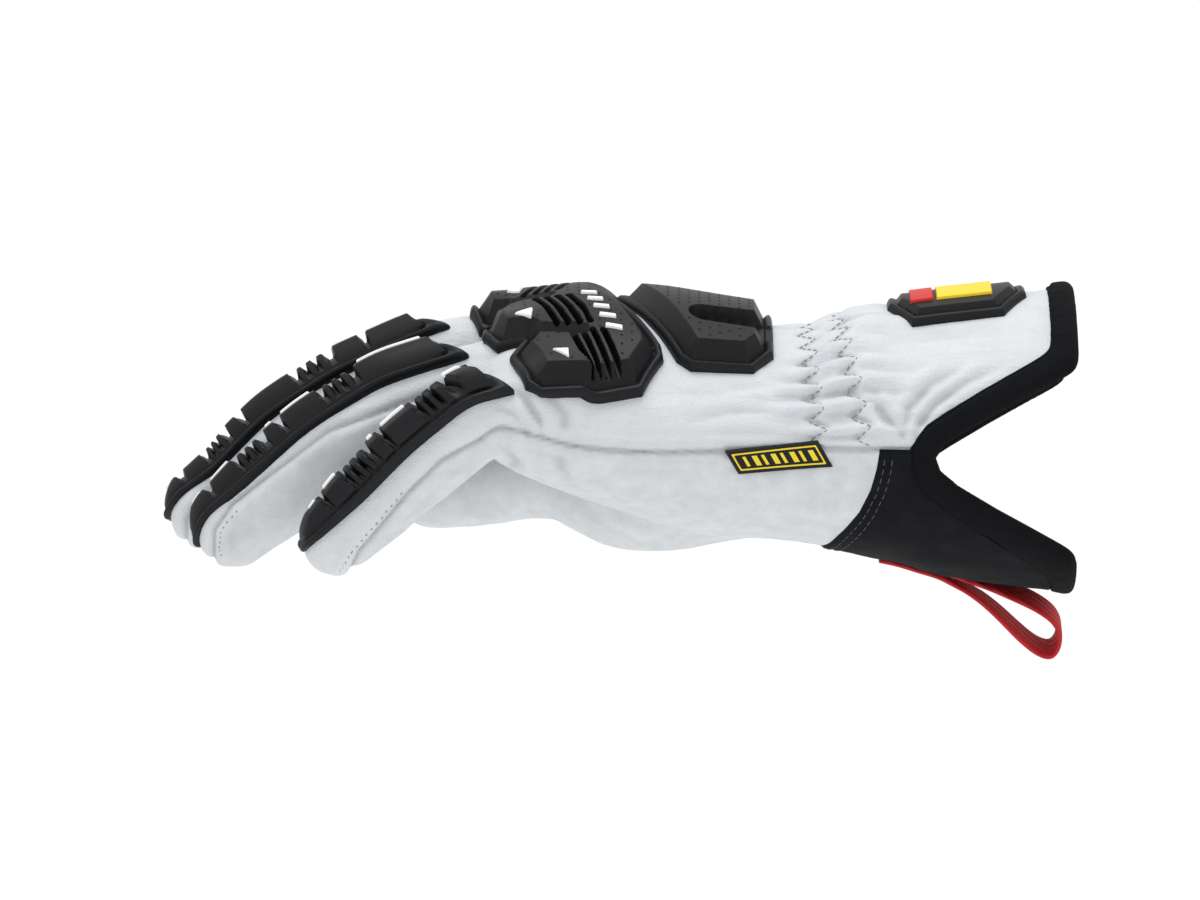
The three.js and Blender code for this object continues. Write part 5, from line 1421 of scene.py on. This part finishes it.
def on_skin(points):
    """Nearest places on the shaped leather, with the way out of it."""
    places, ways = [], []
    for point in points:
        hit, way, _, _ = skin_tree.find_nearest(Vector(point))
        places.append(hit)
        ways.append(way)
    return np.array(places), np.array(ways)


def stitch_row(route, stitch, gap, radius, sunk):
    """Separate straight stitches along a route of points near the leather."""
    route = np.asarray(route)
    along = np.concatenate([[0.0], np.cumsum(np.linalg.norm(np.diff(route, axis=0), axis=1))])
    starts = np.arange(0.0, along[-1] - stitch, stitch + gap)
    stops = [np.stack([np.interp(starts + shift, along, route[:, k]) for k in range(3)], axis=1)
             for shift in (0.0, stitch)]
    (first, out), (last, _) = on_skin(stops[0]), on_skin(stops[1])
    way = last - first
    way /= np.maximum(np.linalg.norm(way, axis=1, keepdims=True), 1e-6)
    side = np.cross(way, out)
    side /= np.maximum(np.linalg.norm(side, axis=1, keepdims=True), 1e-6)
    turns = np.linspace(0, 2 * np.pi, THREAD_SIDES, endpoint=False)
    rings = []
    for centre, size, lower in [
        (first, 0.5, sunk + radius), (first + 0.25 * (last - first), 1.0, sunk),
        (last + 0.25 * (first - last), 1.0, sunk), (last, 0.5, sunk + radius),
    ]:
        rings.append(np.stack([centre + out * (radius * (1 + size * np.sin(t)) - lower)
                               + side * radius * size * np.cos(t) for t in turns], axis=1))
    points = np.stack(rings, axis=1)
    faces, sides, end = [], THREAD_SIDES, 3 * THREAD_SIDES
    for ring in range(3):
        for k in range(sides):
            a, b = ring * sides + k, ring * sides + (k + 1) % sides
            faces += [(a, b, b + sides), (a, b + sides, a + sides)]
    faces += [(0, k + 1, k) for k in range(1, sides - 1)]
    faces += [(end, end + k, end + k + 1) for k in range(1, sides - 1)]
    faces = np.array(faces)[None] + 4 * sides * np.arange(len(points))[:, None, None]
    return points.reshape(-1, 3), faces.reshape(-1, 3)


def sewn(name, routes, material, slot, **stitches):
    """The stitches along some routes as one piece."""
    points, faces = joined([stitch_row(route, **stitches) for route in routes])
    seat(add_object(name, points, faces, material, sharp=0), slot)


routes = []
for line in ZIGZAG_LINES:
    arc = np.arange(1.0, HALF_WAY_ROUND - 1.0, 0.15)
    routes.append(hand_ring(zigzag_x(line, arc), arc / ARC_PER_TURN, 0.0))
sewn("wrist_zigzag_thread", routes, grey_thread, "label_cloth",
     stitch=1.45, gap=0.45, radius=0.14, sunk=0.08)

routes = []
for finger in FINGERS:
    seam = np.array(finger["seam"])[-3:]
    t = np.linspace(0.0, 1.0, 80)
    knots = np.linspace(0.0, 1.0, 3)
    x, z = (np.interp(t, knots, seam[:, k]) for k in range(2))
    line_y = finger["root"] + (ROOT_X - x) / finger["reach"] * finger["splay"]
    routes.append(np.stack([x, line_y - finger["wide"] - 2.0, z], axis=1))
sewn("fingertip_thread", routes, grey_thread, "label_cloth",
     stitch=0.9, gap=1.1, radius=0.16, sunk=0.15)

# Two rows of dark grey stitches round the front edge of the suede panel.
routes = []
panel_arc = np.linspace(-0.015 * np.pi, -0.985 * np.pi, 520)
for inset in (1.6, 3.6):
    line = []
    for turn in panel_arc:
        strip = hand_ring(np.linspace(-9.0, 18.0, 109), turn, 0.0)
        line.append(strip[np.argmax(panel_field(strip) > inset)])
    routes.append(np.array(line))
sewn("panel_thread", routes, dark_thread, "black_suede",
     stitch=1.9, gap=0.7, radius=0.16, sunk=-0.62)

# Pull loop.
# Red polyester webbing, folded to a loop and sewn under the cuff by its two tails. It hangs behind
# the palm, a little open and a little twisted.
LOOP_LENGTH = 33.0
LOOP_DROP = 25.0
LOOP_WIDTH = 10.0
LOOP_THICK = 1.5
LOOP_TWIST = 0.3
LOOP_SIDES = 28
LOOP_WEAVE = 5.5
LOOP_ROWS = [(0.12, 0.13), (0.25, 0.18), (0.43, 0.24), (0.7, 0.38), (0.88, 0.52), (0.955, 0.64),
             (0.97, 0.77), (0.94, 0.9), (0.87, 0.955), (0.72, 0.85), (0.43, 0.47), (0.25, 0.3),
             (0.12, 0.22)]
tail_x = np.array([0.19, 0.27, 0.35, 0.435]) * CUFF_X
tail_z = hand_at(tail_x, "bottom") + 0.8 - LOOP_THICK / 2
loop_route = [(x, z) for x, z in zip(tail_x, tail_z)]
loop_route += [(tail_x[-1] + run * LOOP_LENGTH, tail_z[-1] + 1.9 - drop * LOOP_DROP)
               for run, drop in LOOP_ROWS]
loop_route += [(x, z - LOOP_THICK - 0.1) for x, z in zip(tail_x[::-1], tail_z[::-1])]
loop_route = np.array(loop_route)
for _ in range(3):
    ahead = 0.75 * loop_route[:-1] + 0.25 * loop_route[1:]
    after = 0.25 * loop_route[:-1] + 0.75 * loop_route[1:]
    between = np.stack([ahead, after], axis=1).reshape(-1, 2)
    loop_route = np.concatenate([loop_route[:1], between, loop_route[-1:]])
way = np.gradient(loop_route, axis=0)
way /= np.linalg.norm(way, axis=1, keepdims=True)
side = np.stack([-way[:, 1], way[:, 0]], axis=1)
angles = np.linspace(0, 2 * np.pi, LOOP_SIDES, endpoint=False)
section_y = np.sign(np.cos(angles)) * np.abs(np.cos(angles)) ** 0.35 * LOOP_WIDTH / 2
section_out = np.sign(np.sin(angles)) * np.abs(np.sin(angles)) ** 0.7 * LOOP_THICK / 2
rings = np.empty((len(loop_route), LOOP_SIDES, 3))
rings[:, :, 0] = loop_route[:, None, 0] + section_out * side[:, None, 0]
rings[:, :, 1] = BADGE_MIDDLE + section_y
rings[:, :, 2] = loop_route[:, None, 1] + section_out * side[:, None, 1]
twist = LOOP_TWIST * smoothstep(tail_x[-1], tail_x[-1] + 0.7 * LOOP_LENGTH, loop_route[:, 0])
rings[:, :, 2] += twist[:, None] * section_y
points, faces = closed_loft(rings)
# Woven webbing is a dull deep red; its slanting weave is drawn coarse enough to show.
red_webbing, tree, shader = new_material("red_webbing", "#b5121b", 0.75)
place = add_node(tree, "ShaderNodeTexCoord").outputs["Object"]
weave = add_node(tree, "ShaderNodeTexWave", [("Vector", place), ("Distortion", 0.4),
                                             ("Scale", 1 / (LOOP_WEAVE * MM))],
                 bands_direction="DIAGONAL")
bump = add_node(tree, "ShaderNodeBump", [("Height", weave.outputs["Fac"]), ("Distance", 0.2 * MM)])
tree.links.new(bump.outputs["Normal"], shader.inputs["Normal"])
webbing = add_object("pull_loop_webbing", points, faces, red_webbing, sharp=50.0)
seat(webbing, "red_webbing", "pull_loop")

# Floor and closing lines.
# A plain pale floor of painted board lies far below the glove, which is held up in the air. It is
# matt and so pale that it reads as the white of a studio.
FLOOR_HALF = 25.0
FLOOR_Z = -0.9
floor_mesh = bpy.data.meshes.new("floor")
corners = [(x, y, FLOOR_Z) for x, y in [(-FLOOR_HALF, -FLOOR_HALF), (FLOOR_HALF, -FLOOR_HALF),
                                        (FLOOR_HALF, FLOOR_HALF), (-FLOOR_HALF, FLOOR_HALF)]]
floor_mesh.from_pydata(corners, [], [(0, 1, 2, 3)])
floor = bpy.data.objects.new("floor", floor_mesh)
bpy.context.scene.collection.objects.link(floor)
pale_floor, _, shader = new_material("pale_floor", "#fbfbfb", 0.9)
shader.inputs["Emission Color"].default_value = linear("#ffffff")
shader.inputs["Emission Strength"].default_value = 0.2
floor_mesh.materials.append(pale_floor)

bpy.context.view_layer.update()
